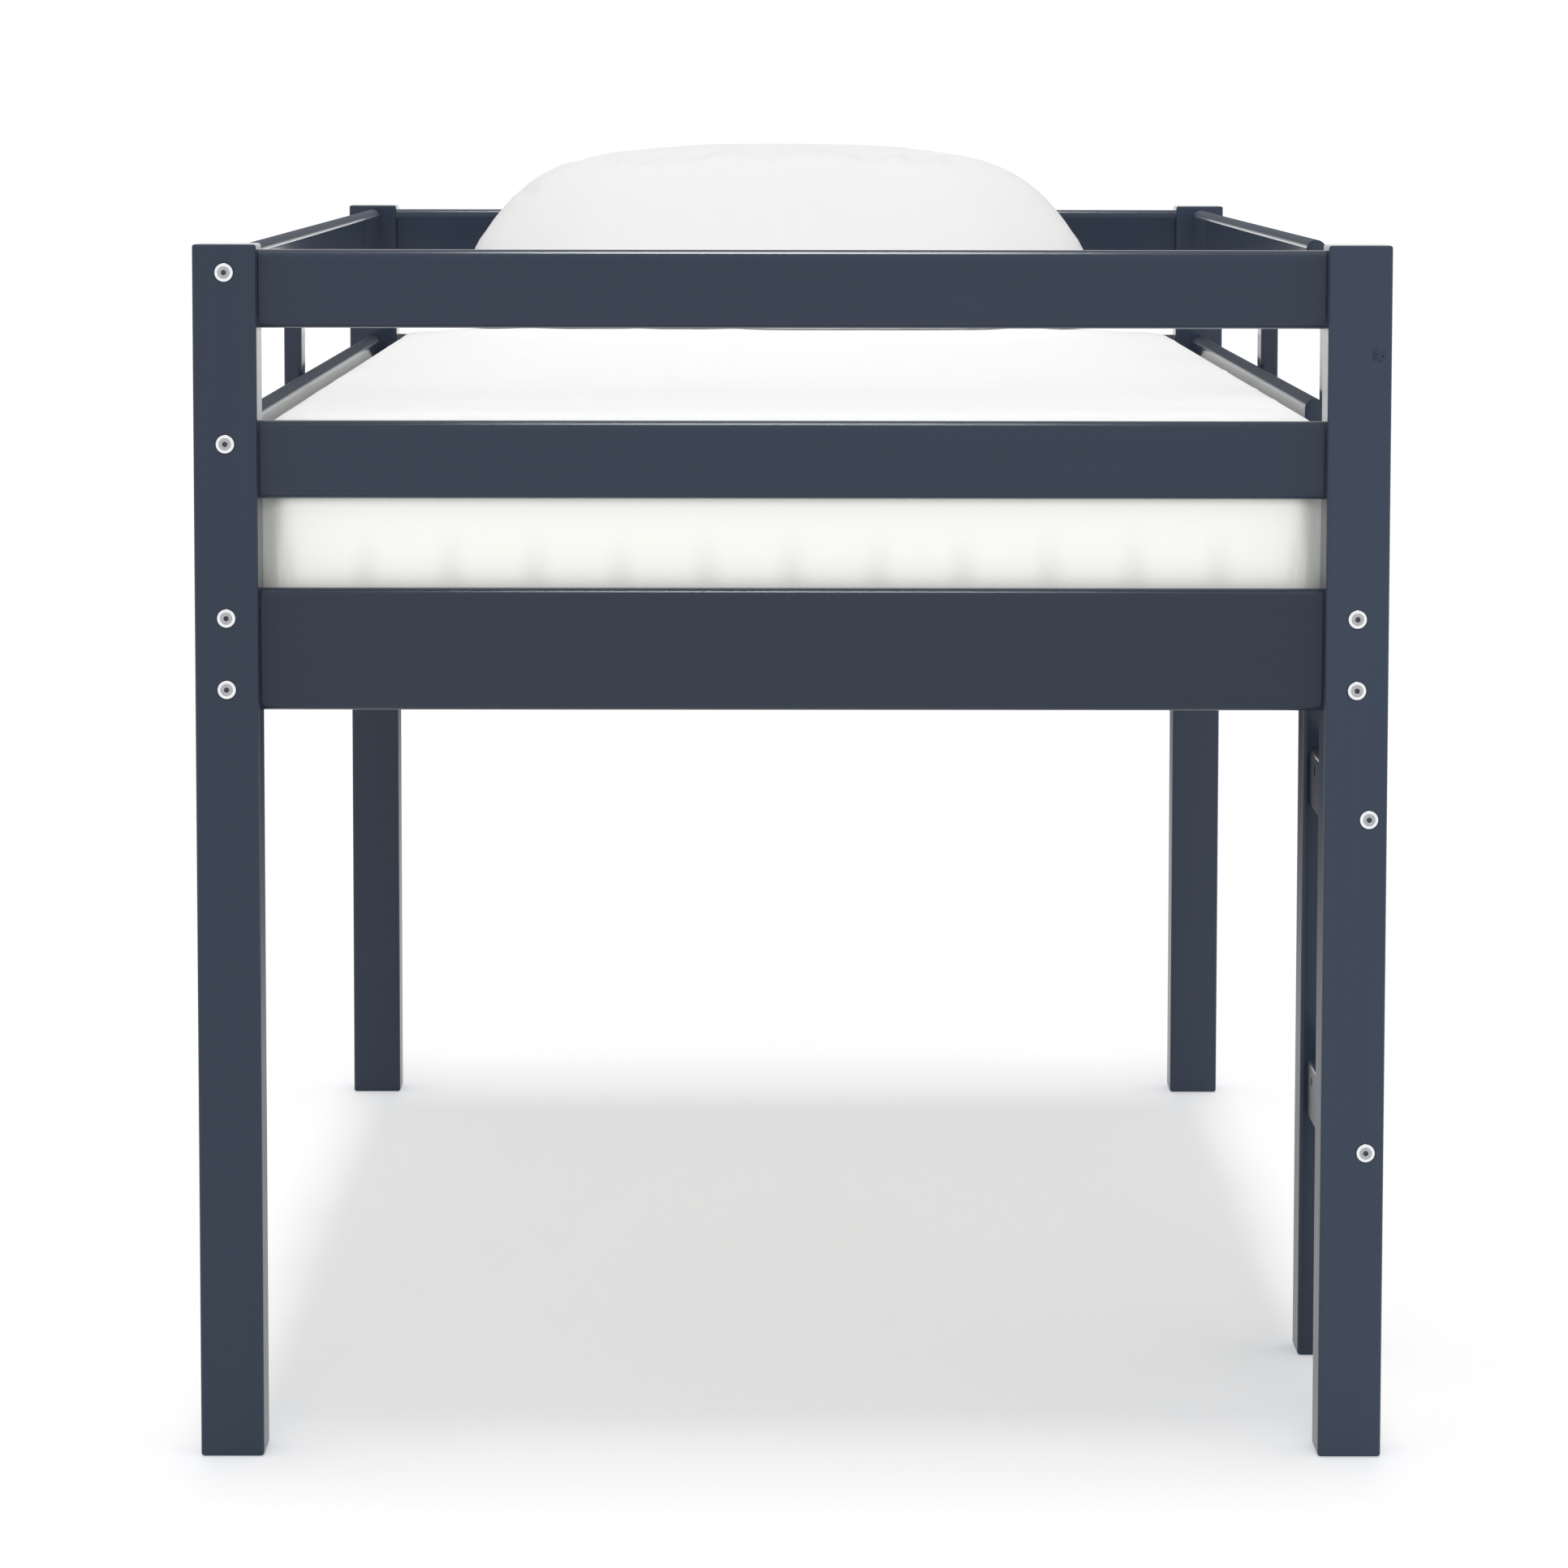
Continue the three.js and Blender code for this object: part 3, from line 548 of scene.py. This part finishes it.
# Bolts. Zinc-plated steel with a wide flat head and a hexagon socket. The long ones pass a
# post and screw into a barrel nut that lies across the rail, and the short ones pull a lap
# onto a threaded insert. Each kind is made once, its head towards -Y, and copied.
HEAD_RADIUS = 0.00825
HEAD_HEIGHT = 0.0028
HEAD_EDGE = 0.0004
HEAD_CHAMFER = 0.0026
HEAD_CHAMFER_DROP = 0.0007
SOCKET_RADIUS = 0.0026
SOCKET_DEPTH = 0.0021
SHANK_RADIUS = 0.003
SHANK_SIDES = 24
SHANK_ROOT = 0.0005
BARREL_RADIUS = 0.0048
BARREL_LENGTH = 0.014
BOLT_PAST_BARREL = 0.003
GRIP = 0.0998
BARREL_SLOT = 0.0012
SLOT_DEPTH = 0.001
SLOT_REACH = 0.006
INSERT_LENGTH = 0.013
LAP_GRIP = 0.0181
ZINC_BLOOM = (700, 700, 700)
ZINC_TURNING = (2600, 2600, 2600)
ZINC_RELIEF = 0.00004


def zinc_plate(name, dark, light, roughness):
    """Bright zinc plating with a faint crystalline bloom."""
    plate, shader, start = new_material(name, {"Metallic": 1.0})
    place = start.node("ShaderNodeTexCoord", output="Object")
    bloom = noise(place, ZINC_BLOOM)
    turning = noise(place, ZINC_TURNING, detail=2)
    blend(bloom, dark, light).into(shader, "Base Color")
    (roughness + 0.15 * bloom).into(shader, "Roughness")
    emboss(shader, turning, 0.25, ZINC_RELIEF)
    return plate


# The face and the socket are the same zinc painted darker, as painted shade.
zinc_finishes = [
    zinc_plate("zinc_rim", (0.78, 0.79, 0.80, 1), (0.92, 0.93, 0.94, 1), 0.16),
    zinc_plate("zinc_face_painted_shade", (0.30, 0.31, 0.33, 1), (0.56, 0.57, 0.59, 1), 0.28),
    zinc_plate("zinc_socket_painted_shade", (0.06, 0.06, 0.065, 1), (0.12, 0.12, 0.125, 1), 0.4)]
RIM, FACE, SOCKET = range(3)


def bolt_head():
    """A wide head, its rim chamfered, with a hexagon socket. Its underside is at y = 0."""
    head = rod(HEAD_RADIUS, (0, 0, 0), (0, -HEAD_HEIGHT, 0), HEAD_SIDES)
    bpy.ops.object.transform_apply(location=True, rotation=True, scale=True)
    only(head)
    bpy.ops.object.mode_set(mode="EDIT")
    bpy.ops.mesh.select_mode(type="FACE")
    bpy.ops.mesh.select_all(action="DESELECT")
    mesh = bmesh.from_edit_mesh(head.data)
    for face in mesh.faces:
        face.select_set(face.normal.y < -0.9)
    bmesh.update_edit_mesh(head.data)
    bpy.ops.mesh.inset(thickness=HEAD_CHAMFER)
    mesh = bmesh.from_edit_mesh(head.data)
    for vertex in mesh.verts:
        co = vertex.co
        if co.y < NEARLY - HEAD_HEIGHT and math.hypot(co.x, co.z) > HEAD_RADIUS - NEARLY:
            co.y += HEAD_CHAMFER_DROP
    bmesh.update_edit_mesh(head.data)
    bpy.ops.object.mode_set(mode="OBJECT")
    ease(head, HEAD_EDGE, lambda a, b: all(
        abs(end.y + HEAD_HEIGHT - HEAD_CHAMFER_DROP) < NEARLY for end in (a, b)), segments=3)
    joinery(head, [rod(SOCKET_RADIUS, (0, -HEAD_HEIGHT * 2, 0),
                       (0, SOCKET_DEPTH - HEAD_HEIGHT, 0), sides=6)])
    for face in head.data.polygons:
        middle = face.center
        from_axis = math.hypot(middle.x, middle.z)
        if from_axis > HEAD_RADIUS - HEAD_CHAMFER - NEARLY:
            face.material_index = RIM
        elif middle.y < NEARLY - HEAD_HEIGHT or middle.y > -NEARLY:
            face.material_index = FACE
        else:
            face.material_index = SOCKET
    return head


barrel_bolt = bolt_head()
joinery(barrel_bolt, [
    rod(SHANK_RADIUS, (0, -SHANK_ROOT, 0),
        (0, GRIP + BARREL_RADIUS + BOLT_PAST_BARREL, 0), SHANK_SIDES),
    rod(BARREL_RADIUS, (-BARREL_LENGTH / 2, GRIP, 0), (BARREL_LENGTH / 2, GRIP, 0))], "UNION")
joinery(barrel_bolt, [
    stock("slot", (end - SLOT_DEPTH, GRIP - SLOT_REACH, -BARREL_SLOT / 2),
          (end + SLOT_DEPTH, GRIP + SLOT_REACH, BARREL_SLOT / 2))
    for end in (-BARREL_LENGTH / 2, BARREL_LENGTH / 2)])
lap_bolt = bolt_head()
joinery(lap_bolt, [
    rod(SHANK_RADIUS, (0, -SHANK_ROOT, 0), (0, LAP_GRIP + SEAT, 0), SHANK_SIDES),
    rod(BARREL_RADIUS, (0, LAP_GRIP, 0), (0, LAP_GRIP + INSERT_LENGTH, 0))], "UNION")

for node in sorted(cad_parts):
    if not node.endswith(("_bolt", "_bolt_1", "_bolt_2")):
        continue
    low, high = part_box(node)
    middle = (low + high) / 2
    is_lap = node.startswith(("ladder_post", "left_brace", "right_brace"))
    under = middle.copy()
    if is_lap:
        turn = math.pi / 2 if middle.x > 0 else -math.pi / 2
        under.x = high.x - HEAD_HEIGHT if middle.x > 0 else low.x + HEAD_HEIGHT
    else:
        faces_foot = node.startswith("foot") or node.endswith("front_bolt")
        turn = 0 if faces_foot else math.pi
        under.y = low.y + HEAD_HEIGHT if faces_foot else high.y - HEAD_HEIGHT
    bolt = (lap_bolt if is_lap else barrel_bolt).copy()
    bolt.data = bolt.data.copy()
    bolt.name = bolt.data.name = f"zinc_{node}"
    bpy.context.collection.objects.link(bolt)
    bolt.data.transform(Matrix.Translation(under) @ Matrix.Rotation(turn, 4, "Z"))
    fit(bolt, zinc_finishes, node)
for pattern in (barrel_bolt, lap_bolt):
    bpy.data.objects.remove(pattern)

# Cleats. A square batten along the inside of each side rail, painted with it, for the slats
# to lie on.
CLEAT_ROUND = 0.002
CLEAT_END_ROUND = 0.001

for side in ("left", "right"):
    node = f"{side}_slat_cleat"
    low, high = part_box(node)
    cleat = stock(f"painted_{node}", low, high)
    ease_along(cleat, Y_AXIS, CLEAT_ROUND, segments=3)
    ease_ends(cleat, Y_AXIS, CLEAT_END_ROUND, segments=2)
    fit(cleat, [paint_lengthwise], node)

# Slats. Twelve bare planed pine boards, sawn with the heart on the under side, so that their
# growth rings run lengthwise, with darker latewood lines and a few small knots.
SLAT_ROUND = 0.002
SLAT_END_ROUND = 0.0008
SLAT_COUNT = 12
PINE_EARLY = (0.80, 0.64, 0.44, 1)
PINE_LATE = (0.62, 0.40, 0.20, 1)
PINE_KNOT = (0.20, 0.095, 0.04, 1)
PINE_WANDER = (2.5, 9, 9)
PINE_PORES = (25, 2400, 2400)
PINE_KNOTS = (2.6, 9.0, 9.0)
PINE_RELIEF = 0.00015
RING_PITCH = 0.0042
HEART_PLACE = 0.9
HEART_SPREAD = 0.071
HEART_HEIGHT = 0.66
HEART_WANDER = 0.03

pine, shader, start = new_material("bare_pine", {"IOR": 1.45})
place = start.node("ShaderNodeTexCoord", output="Object")
wander = noise(place, PINE_WANDER, detail=2)
parts = start.node("ShaderNodeSeparateXYZ", sockets={0: place})
heart = start.math("PINGPONG", parts.out("Y") + HEART_PLACE, HEART_SPREAD)
depth = parts.out("Z") - HEART_HEIGHT + HEART_WANDER * wander
radius = (heart * heart + depth * depth) ** 0.5
ring = start.math("FRACT", radius * (1 / RING_PITCH))
late = ring ** 4
pores = noise(place, PINE_PORES, detail=2)
scattered = start.node("ShaderNodeMapping", sockets={"Vector": place, "Scale": PINE_KNOTS})
knots = start.node("ShaderNodeTexVoronoi", sockets={
    "Vector": scattered, "Scale": 1.0, "Randomness": 1.0}, output="Distance")
knot = knots.ramp(0.05, 0.09, 1.0, 0.0)
board = blend(late * 0.8 + 0.2 * pores, PINE_EARLY, PINE_LATE)
blend(knot, board, PINE_KNOT).into(shader, "Base Color")
(0.62 - 0.12 * late + 0.1 * pores).into(shader, "Roughness")
emboss(shader, 0.6 * late + 0.4 * pores, 0.4, PINE_RELIEF)

for number in range(1, SLAT_COUNT + 1):
    node = f"slat_{number:02d}"
    low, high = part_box(node)
    slat = stock(f"pine_{node}", low, high)
    ease_along(slat, X_AXIS, SLAT_ROUND, segments=3)
    ease_ends(slat, X_AXIS, SLAT_END_ROUND, segments=2)
    fit(slat, [pine], node)

# Mattress. A foam core in a white knitted cover, its edges rounded and its top a little
# crowned. The cover has a creamier border, and hangs slack low on the sides in soft upright
# ripples, with painted shade in their hollows.
MATTRESS_CORNER = 0.034
MATTRESS_EDGE = 0.048
MATTRESS_VOXEL = 0.014
MATTRESS_CROWN = 0.004
SQUARELY = 0.9
MATTRESS_BULGE = 0.004
MATTRESS_LIP = 0.006
LIP_REACH = 0.075
HOLLOW = 0.004
HOLLOW_REACH = 0.025
RIPPLE_PITCH = 0.077
RIPPLE_SHIFT = 0.0195
RIPPLE_TOP = 0.850
RIPPLE_FOOT = 0.790
RIPPLE_FADE = 0.035
RIPPLE_DEPTH = 0.0035
RIPPLE_UNEVEN = 0.05
CREASES_ACROSS = 6
CREASES_ALONG = 3
CREASE_SHARPNESS = 5
CREASE_HEIGHT = 0.0014
TICKING = (0.962, 0.968, 0.960, 1)
TICKING_SHADE = (0.932, 0.938, 0.926, 1)
TICKING_PAINTED_FOLD_SHADE = (0.82, 0.825, 0.80, 1)
TICKING_BORDER = (0.950, 0.956, 0.885, 1)
TICKING_PITCH = 0.0011
BORDER_FACING = (0.5, 0.8)
BORDER_SHARE = 0.6
PAINTED_FOLD_SHADE_SHARE = 0.45
CLOTH_PATCHES = (4.5, 4.5, 0.5)
CLOTH_CLOUD = (7, 7, 7)
CLOTH_FUZZ = (1500, 1500, 1500)
CLOTH_RELIEF = 0.0002


def knit(name, colour, shade, pitch, constants, slack=False):
    """A soft white cloth with its threads as a fine relief. A slack one has a creamier border
    and painted shade that makes it a little greyer in the hollows of its ripples."""
    material, shader, start = new_material(name, constants)
    place = start.node("ShaderNodeTexCoord", output="Object")
    if slack:
        spot = start.node("ShaderNodeSeparateXYZ", sockets={0: place})
        facing = start.node("ShaderNodeSeparateXYZ", sockets={
            0: start.node("ShaderNodeNewGeometry", output="True Normal")})
        patches = noise(place, CLOTH_PATCHES, detail=2)
        low_down = (spot.out("Z") + RIPPLE_UNEVEN * (patches - 0.5)).ramp(
            RIPPLE_FOOT, RIPPLE_TOP, 1.0, 0.0, "SMOOTHSTEP")
        off_floor = spot.out("Z").ramp(
            RIPPLE_FOOT - RIPPLE_FADE, RIPPLE_FOOT, kind="SMOOTHSTEP")
        dents = []
        for along, across in (("X", "Y"), ("Y", "X")):
            turned = start.math(
                "GREATER_THAN", start.math("ABSOLUTE", facing.out(across)), SQUARELY)
            wave = start.math("MAXIMUM", start.math(
                "SINE", (spot.out(along) + RIPPLE_SHIFT) * (2 * math.pi / RIPPLE_PITCH)), 0.0)
            dents.append(turned * wave * wave)
        hollows = (dents[0] + dents[1]) * low_down * off_floor
    cloud = noise(place, CLOTH_CLOUD)
    threads = start.node("ShaderNodeVectorMath", {"operation": "SCALE"},
                         {0: place, "Scale": 1 / pitch})
    parts = start.node("ShaderNodeSeparateXYZ", sockets={0: threads})
    turn = 2 * math.pi
    weave = sum(start.math("SINE", parts.out(axis) * turn) for axis in "XYZ")
    fuzz = noise(place, CLOTH_FUZZ, detail=2)
    tone = blend(cloud * 0.6 + fuzz * 0.3, colour, shade)
    if slack:
        border = facing.out("Z").ramp(*BORDER_FACING, BORDER_SHARE, 0.0)
        tone = blend(border, tone, TICKING_BORDER)
        # Painted shade: greyer in the hollows of the ripples.
        tone = blend(hollows * PAINTED_FOLD_SHADE_SHARE, tone, TICKING_PAINTED_FOLD_SHADE)
    tone.into(shader, "Base Color")
    (0.80 + 0.12 * fuzz).into(shader, "Roughness")
    emboss(shader, 0.16 * weave + 0.5 * fuzz, 0.3, CLOTH_RELIEF)
    return material


def smoothstep(share):
    """A share from 0 to 1, eased at both ends."""
    return share ** 2 * (3 - 2 * share)


low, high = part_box("mattress")
slim = Vector((MATTRESS_BULGE, MATTRESS_BULGE, 0))
mattress = stock("ticking_mattress", low + slim, high - slim - Vector((0, 0, MATTRESS_CROWN)))
ease_along(mattress, Z_AXIS, MATTRESS_CORNER, segments=1)
ease_ends(mattress, Z_AXIS, MATTRESS_EDGE, segments=8)
mattress.data.remesh_voxel_size = MATTRESS_VOXEL
only(mattress)
bpy.ops.object.voxel_remesh()
middle = (low + high) / 2
half = (high - low) / 2
for vertex in mattress.data.vertices:
    co = vertex.co
    share = max(abs(co.x - middle.x) / half.x, abs(co.y - middle.y) / half.y)
    level = (co.z - low.z) / (high.z - low.z)
    if level > 0.5:
        co.z += MATTRESS_CROWN * (1 - share ** 2) * (level - 0.5) * 2
    swell = MATTRESS_BULGE * math.sin(math.pi * min(max(level, 0), 1))
    for axis in (X_AXIS, Y_AXIS):
        reach = (co[axis] - middle[axis]) / half[axis]
        co[axis] += swell * reach ** 5
smooth = mattress.modifiers.new("smooth", "SUBSURF")
smooth.levels = smooth.render_levels = 1
bpy.ops.object.modifier_apply(modifier=smooth.name)
normals = [vertex.normal.copy() for vertex in mattress.data.vertices]
for vertex, normal in zip(mattress.data.vertices, normals):
    co = vertex.co
    on_end, on_side = abs(normal.y) > SQUARELY, abs(normal.x) > SQUARELY
    if normal.z > SQUARELY:
        fold = wander_at(Vector((co.x * CREASES_ACROSS + co.y, co.y * CREASES_ALONG, 0)))
        co.z += CREASE_HEIGHT * max(0, 1 - CREASE_SHARPNESS * abs(fold)) ** 2
    elif on_end or on_side:
        below = min(max((RIPPLE_TOP - co.z) / (RIPPLE_TOP - RIPPLE_FOOT), 0), 1)
        above = min(max((co.z - RIPPLE_FOOT + RIPPLE_FADE) / RIPPLE_FADE, 0), 1)
        along = (co.x if on_end else co.y) + RIPPLE_SHIFT
        wave = max(0, math.sin(2 * math.pi * along / RIPPLE_PITCH)) ** 2
        drawn_in = RIPPLE_DEPTH * wave * smoothstep(below) * smoothstep(above)
        co -= drawn_in * Vector((normal.x, normal.y, 0))
bpy.ops.object.shade_smooth()
mattress.data.materials.append(knit("white_ticking", TICKING, TICKING_SHADE, TICKING_PITCH, {
    "IOR": 1.35, "Sheen Weight": 0.15, "Sheen Roughness": 0.5}, slack=True))
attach(mattress, "mattress")
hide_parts("mattress")

# Pillow. A plain white cotton pillow, full and smooth, with sloping shoulders and a sewn rim.
# It stands on one long edge against the head board, and its filling has sunk into the edge
# that it stands on.
PILLOW_WIDTH = 0.742
PILLOW_RISE = 0.200
PILLOW_FOOT = 0.080
PILLOW_THICK = 0.150
PILLOW_LEAN = math.radians(66)
PILLOW_SINK = 0.040
PILLOW_PLACE_X = -0.009
PILLOW_OUTLINE = 2.9
PILLOW_SLOPE = 0.040
PILLOW_SLOPE_FROM = 0.30
PILLOW_SWELL = 2.6
PILLOW_EDGE = 0.5
PILLOW_VOXEL = 0.007
PILLOW_CAP = 0.014
PILLOW_SLIM = 0.010
PILLOW_PRESSURE = 4
PILLOW_STEPS = 20
EDGE_DEPTH = 0.03
CLOTH_GAP = 0.0012
CUSHION = 0.003
BOARD_GAP = 0.0008
BOARD_CLEAR = 0.002
OVER_THE_BED = 2
SEAM_RADIUS = 0.0013
SEAM_GAP = 0.0018
SEAM_POINTS = 180
COTTON = (0.780, 0.780, 0.780, 1)
COTTON_SHADE = (0.755, 0.755, 0.755, 1)
COTTON_PITCH = 0.0006

bpy.ops.object.select_all(action="DESELECT")
bpy.ops.mesh.primitive_uv_sphere_add(segments=96, ring_count=64, radius=1)
pillow = bpy.context.object
pillow.name = pillow.data.name = "cotton_pillow"
for vertex in pillow.data.vertices:
    co = vertex.co
    share = min(1.0, math.hypot(co.x, co.y))
    angle = math.atan2(co.y, co.x)
    side = 1 if co.z > 0 else -1
    cos, sin = math.cos(angle), math.sin(angle)
    power = 2 / PILLOW_OUTLINE
    swell = max(0.0, 1 - share ** PILLOW_SWELL) ** PILLOW_EDGE
    reach = PILLOW_RISE if sin > 0 else PILLOW_FOOT
    height = share * math.copysign(abs(sin) ** power, sin)
    slope = max(0.0, (height - PILLOW_SLOPE_FROM) / (1 - PILLOW_SLOPE_FROM))
    narrow = 1 - PILLOW_SLOPE * math.sin(math.pi * slope)
    width = (PILLOW_WIDTH / 2 - PILLOW_SLIM) * share * narrow
    co.x = width * math.copysign(abs(cos) ** power, cos)
    co.y = (reach - PILLOW_SLIM) * height
    co.z = side * (PILLOW_THICK / 2 - PILLOW_SLIM) * swell
pillow.data.remesh_voxel_size = PILLOW_VOXEL
bpy.ops.object.voxel_remesh()
before = [vertex.co.copy() for vertex in pillow.data.vertices]
puff = pillow.modifiers.new("puff", "CLOTH")
puff.settings.use_pressure = True
puff.settings.uniform_pressure_force = PILLOW_PRESSURE
puff.settings.effector_weights.gravity = 0
scene = bpy.context.scene
for step in range(1, PILLOW_STEPS + 1):
    scene.frame_set(step)
only(pillow)
bpy.ops.object.modifier_apply(modifier=puff.name)
scene.frame_set(1)
for vertex, start_place in zip(pillow.data.vertices, before):
    move = vertex.co - start_place
    if move.length > PILLOW_CAP:
        vertex.co = start_place + move * (PILLOW_CAP / move.length)
targets = ((PILLOW_WIDTH / 2, PILLOW_WIDTH / 2), (PILLOW_RISE, PILLOW_FOOT),
           (PILLOW_THICK / 2, PILLOW_THICK / 2))
for axis, (ahead, behind) in enumerate(targets):
    places = [vertex.co[axis] for vertex in pillow.data.vertices]
    stretch, shrink = ahead / max(places), behind / -min(places)
    for vertex in pillow.data.vertices:
        vertex.co[axis] *= stretch if vertex.co[axis] > 0 else shrink
only(pillow)
smooth = pillow.modifiers.new("smooth", "SUBSURF")
smooth.levels = smooth.render_levels = 1
bpy.ops.object.modifier_apply(modifier=smooth.name)

lean = Matrix.Rotation(PILLOW_LEAN, 4, "X")
pillow.data.transform(lean)
mattress_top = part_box("mattress")[1].z
lift = mattress_top - PILLOW_SINK - min(vertex.co.z for vertex in pillow.data.vertices)
board_low, board_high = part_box("head_top_board")
back = max(vertex.co.y for vertex in pillow.data.vertices if vertex.co.z + lift < board_high.z)
place_pillow = Matrix.Translation((PILLOW_PLACE_X, board_low.y - SEAT - back, lift))
pillow.data.transform(place_pillow)
skin = BVHTree.FromObject(pillow, bpy.context.evaluated_depsgraph_get())
for vertex in mattress.data.vertices:
    co = vertex.co
    share = min(max((co.z - mattress_top + EDGE_DEPTH) / EDGE_DEPTH, 0), 1)
    near, normal, _, distance = skin.find_nearest(co, LIP_REACH)
    if share > 0 and near is not None:
        outside = (co - near).dot(normal) > 0
        fade = smoothstep(min(distance / (LIP_REACH if outside else HOLLOW_REACH), 1))
        drop = MATTRESS_LIP if outside else MATTRESS_LIP + HOLLOW
        co.z += share * (MATTRESS_LIP - fade * drop)
bed_skin = BVHTree.FromObject(mattress, bpy.context.evaluated_depsgraph_get())


def settle(co):
    """Presses a point of the pillow up off the mattress and clear of the head board."""
    hit = bed_skin.ray_cast(Vector((co.x, co.y, OVER_THE_BED)), Vector((0, 0, -1)))[0]
    floor = (hit.z if hit else mattress_top - EDGE_DEPTH) + CLOTH_GAP
    gap = co.z - floor
    if gap < CUSHION:
        co.z = floor + (0.0 if gap < -CUSHION else (gap + CUSHION) ** 2 / (4 * CUSHION))
    if co.z < board_high.z + BOARD_CLEAR and co.y > board_low.y - BOARD_GAP:
        co.y = board_low.y - BOARD_GAP
    return co


for vertex in pillow.data.vertices:
    vertex.co = settle(vertex.co)
only(pillow)
skin = BVHTree.FromObject(pillow, bpy.context.evaluated_depsgraph_get())
place_rim = place_pillow @ lean
seam = bpy.data.curves.new("seam", "CURVE")
seam.dimensions = "3D"
seam.bevel_depth, seam.bevel_resolution = SEAM_RADIUS, 2
thread = seam.splines.new("POLY")
thread.points.add(SEAM_POINTS - 1)
thread.use_cyclic_u = True
for step, point in enumerate(thread.points):
    angle = 2 * math.pi * step / SEAM_POINTS
    outward = Vector((math.cos(angle), math.sin(angle), 0))
    inward = place_rim.to_3x3() @ -outward
    found = skin.ray_cast(place_rim @ outward, inward)[0]
    hit = bed_skin.ray_cast(Vector((found.x, found.y, OVER_THE_BED)), Vector((0, 0, -1)))[0]
    found.z = max(found.z, (hit.z if hit else mattress_top) + SEAM_RADIUS + SEAM_GAP)
    point.co = (*found, 1)
piping = bpy.data.objects.new("piping", seam)
bpy.context.collection.objects.link(piping)
only(piping)
bpy.ops.object.convert(target="MESH")
pillow.select_set(True)
bpy.context.view_layer.objects.active = pillow
bpy.ops.object.join()
bpy.ops.object.shade_smooth()
pillow.data.materials.append(knit("white_cotton", COTTON, COTTON_SHADE, COTTON_PITCH, {
    "IOR": 1.35, "Sheen Weight": 0.1, "Sheen Roughness": 0.4}))
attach(pillow, "pillow")
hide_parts("pillow")

# Stage. A white floor that keeps the bed's shadow, an overcast white sky, a row of soft lights
# overhead that fan out along the bed, and a broad one that comes in low from the foot end.
# The lens is long.
SKY_ON_THINGS = 0.60
OVERHEAD_PLACE = (0, 0, 5)
OVERHEAD_TILTS = (-11, -5.5, 0, 5.5, 11)
OVERHEAD_STRENGTH = 0.240
OVERHEAD_ANGLE = math.radians(6)
FRONT_PLACE = (0, -5, 2)
FRONT_TILT = math.radians(77)
FRONT_STRENGTH = 1.10
FRONT_ANGLE = math.radians(30)
FLOOR_SIZE = 120
FLOOR_DROP = 0.0005
FLOOR_GLOW = (0.347, 0.374, 0.404, 1)
FLOOR_SEEN = (0.680, 0.655, 0.636, 1)
FLOOR_BOUNCE = (0.85, 0.85, 0.85, 1)
LENS = 132.04
SHIFT_Y = -0.1
CAMERA_PLACE = (-0.02067, -6.09830, 1.21927)
CAMERA_PITCH = 0.09109
CAMERA_YAW = -0.00263
CAMERA_ROLL = 0.00124
CAMERA_REACH = 200


def seen_directly(start):
    """1 for a ray from the camera, or one that a glossy or clear face passes on, else 0."""
    rays = start.node("ShaderNodeLightPath", output="Is Camera Ray")
    return start.math("MAXIMUM", rays, start.math(
        "MAXIMUM", rays.out("Is Glossy Ray"), rays.out("Is Transmission Ray")))


scene = bpy.context.scene
world = bpy.data.worlds.new("overcast")
scene.world = world
world.use_nodes = True
seen = seen_directly(Wire(world.node_tree))
background = world.node_tree.nodes["Background"]
background.inputs["Color"].default_value = (1, 1, 1, 1)
(SKY_ON_THINGS + (1 - SKY_ON_THINGS) * seen).into(background, "Strength")

bpy.ops.object.select_all(action="DESELECT")
for tilt in OVERHEAD_TILTS:
    bpy.ops.object.light_add(
        type="SUN", location=OVERHEAD_PLACE, rotation=(math.radians(tilt), 0, 0))
    overhead = bpy.context.object.data
    overhead.energy, overhead.angle = OVERHEAD_STRENGTH, OVERHEAD_ANGLE
bpy.ops.object.light_add(type="SUN", location=FRONT_PLACE, rotation=(FRONT_TILT, 0, 0))
front = bpy.context.object
front.data.energy, front.data.angle = FRONT_STRENGTH, FRONT_ANGLE
front.visible_glossy = False

bpy.ops.mesh.primitive_plane_add(size=FLOOR_SIZE, location=(0, 0, -FLOOR_DROP))
floor = bpy.context.object
floor.name = "floor"
bpy.ops.object.transform_apply(location=True, rotation=True, scale=True)
floor_paint, shader, start = new_material("floor_paint", {
    "Roughness": 1.0, "Specular IOR Level": 0.0, "Emission Strength": 1.0})
seen = seen_directly(start)
blend(seen, FLOOR_BOUNCE, FLOOR_SEEN).into(shader, "Base Color")
blend(seen, (0, 0, 0, 1), FLOOR_GLOW).into(shader, "Emission Color")
floor.data.materials.append(floor_paint)

bpy.ops.object.camera_add()
camera = bpy.context.object
camera.matrix_world = (
    Matrix.Translation(CAMERA_PLACE) @ Matrix.Rotation(CAMERA_YAW, 4, "Z")
    @ Matrix.Rotation(math.pi / 2 - CAMERA_PITCH, 4, "X") @ Matrix.Rotation(CAMERA_ROLL, 4, "Z"))
camera.data.lens = LENS
camera.data.shift_y = SHIFT_Y
camera.data.clip_end = CAMERA_REACH
scene.camera = camera
scene.view_settings.view_transform = "Standard"
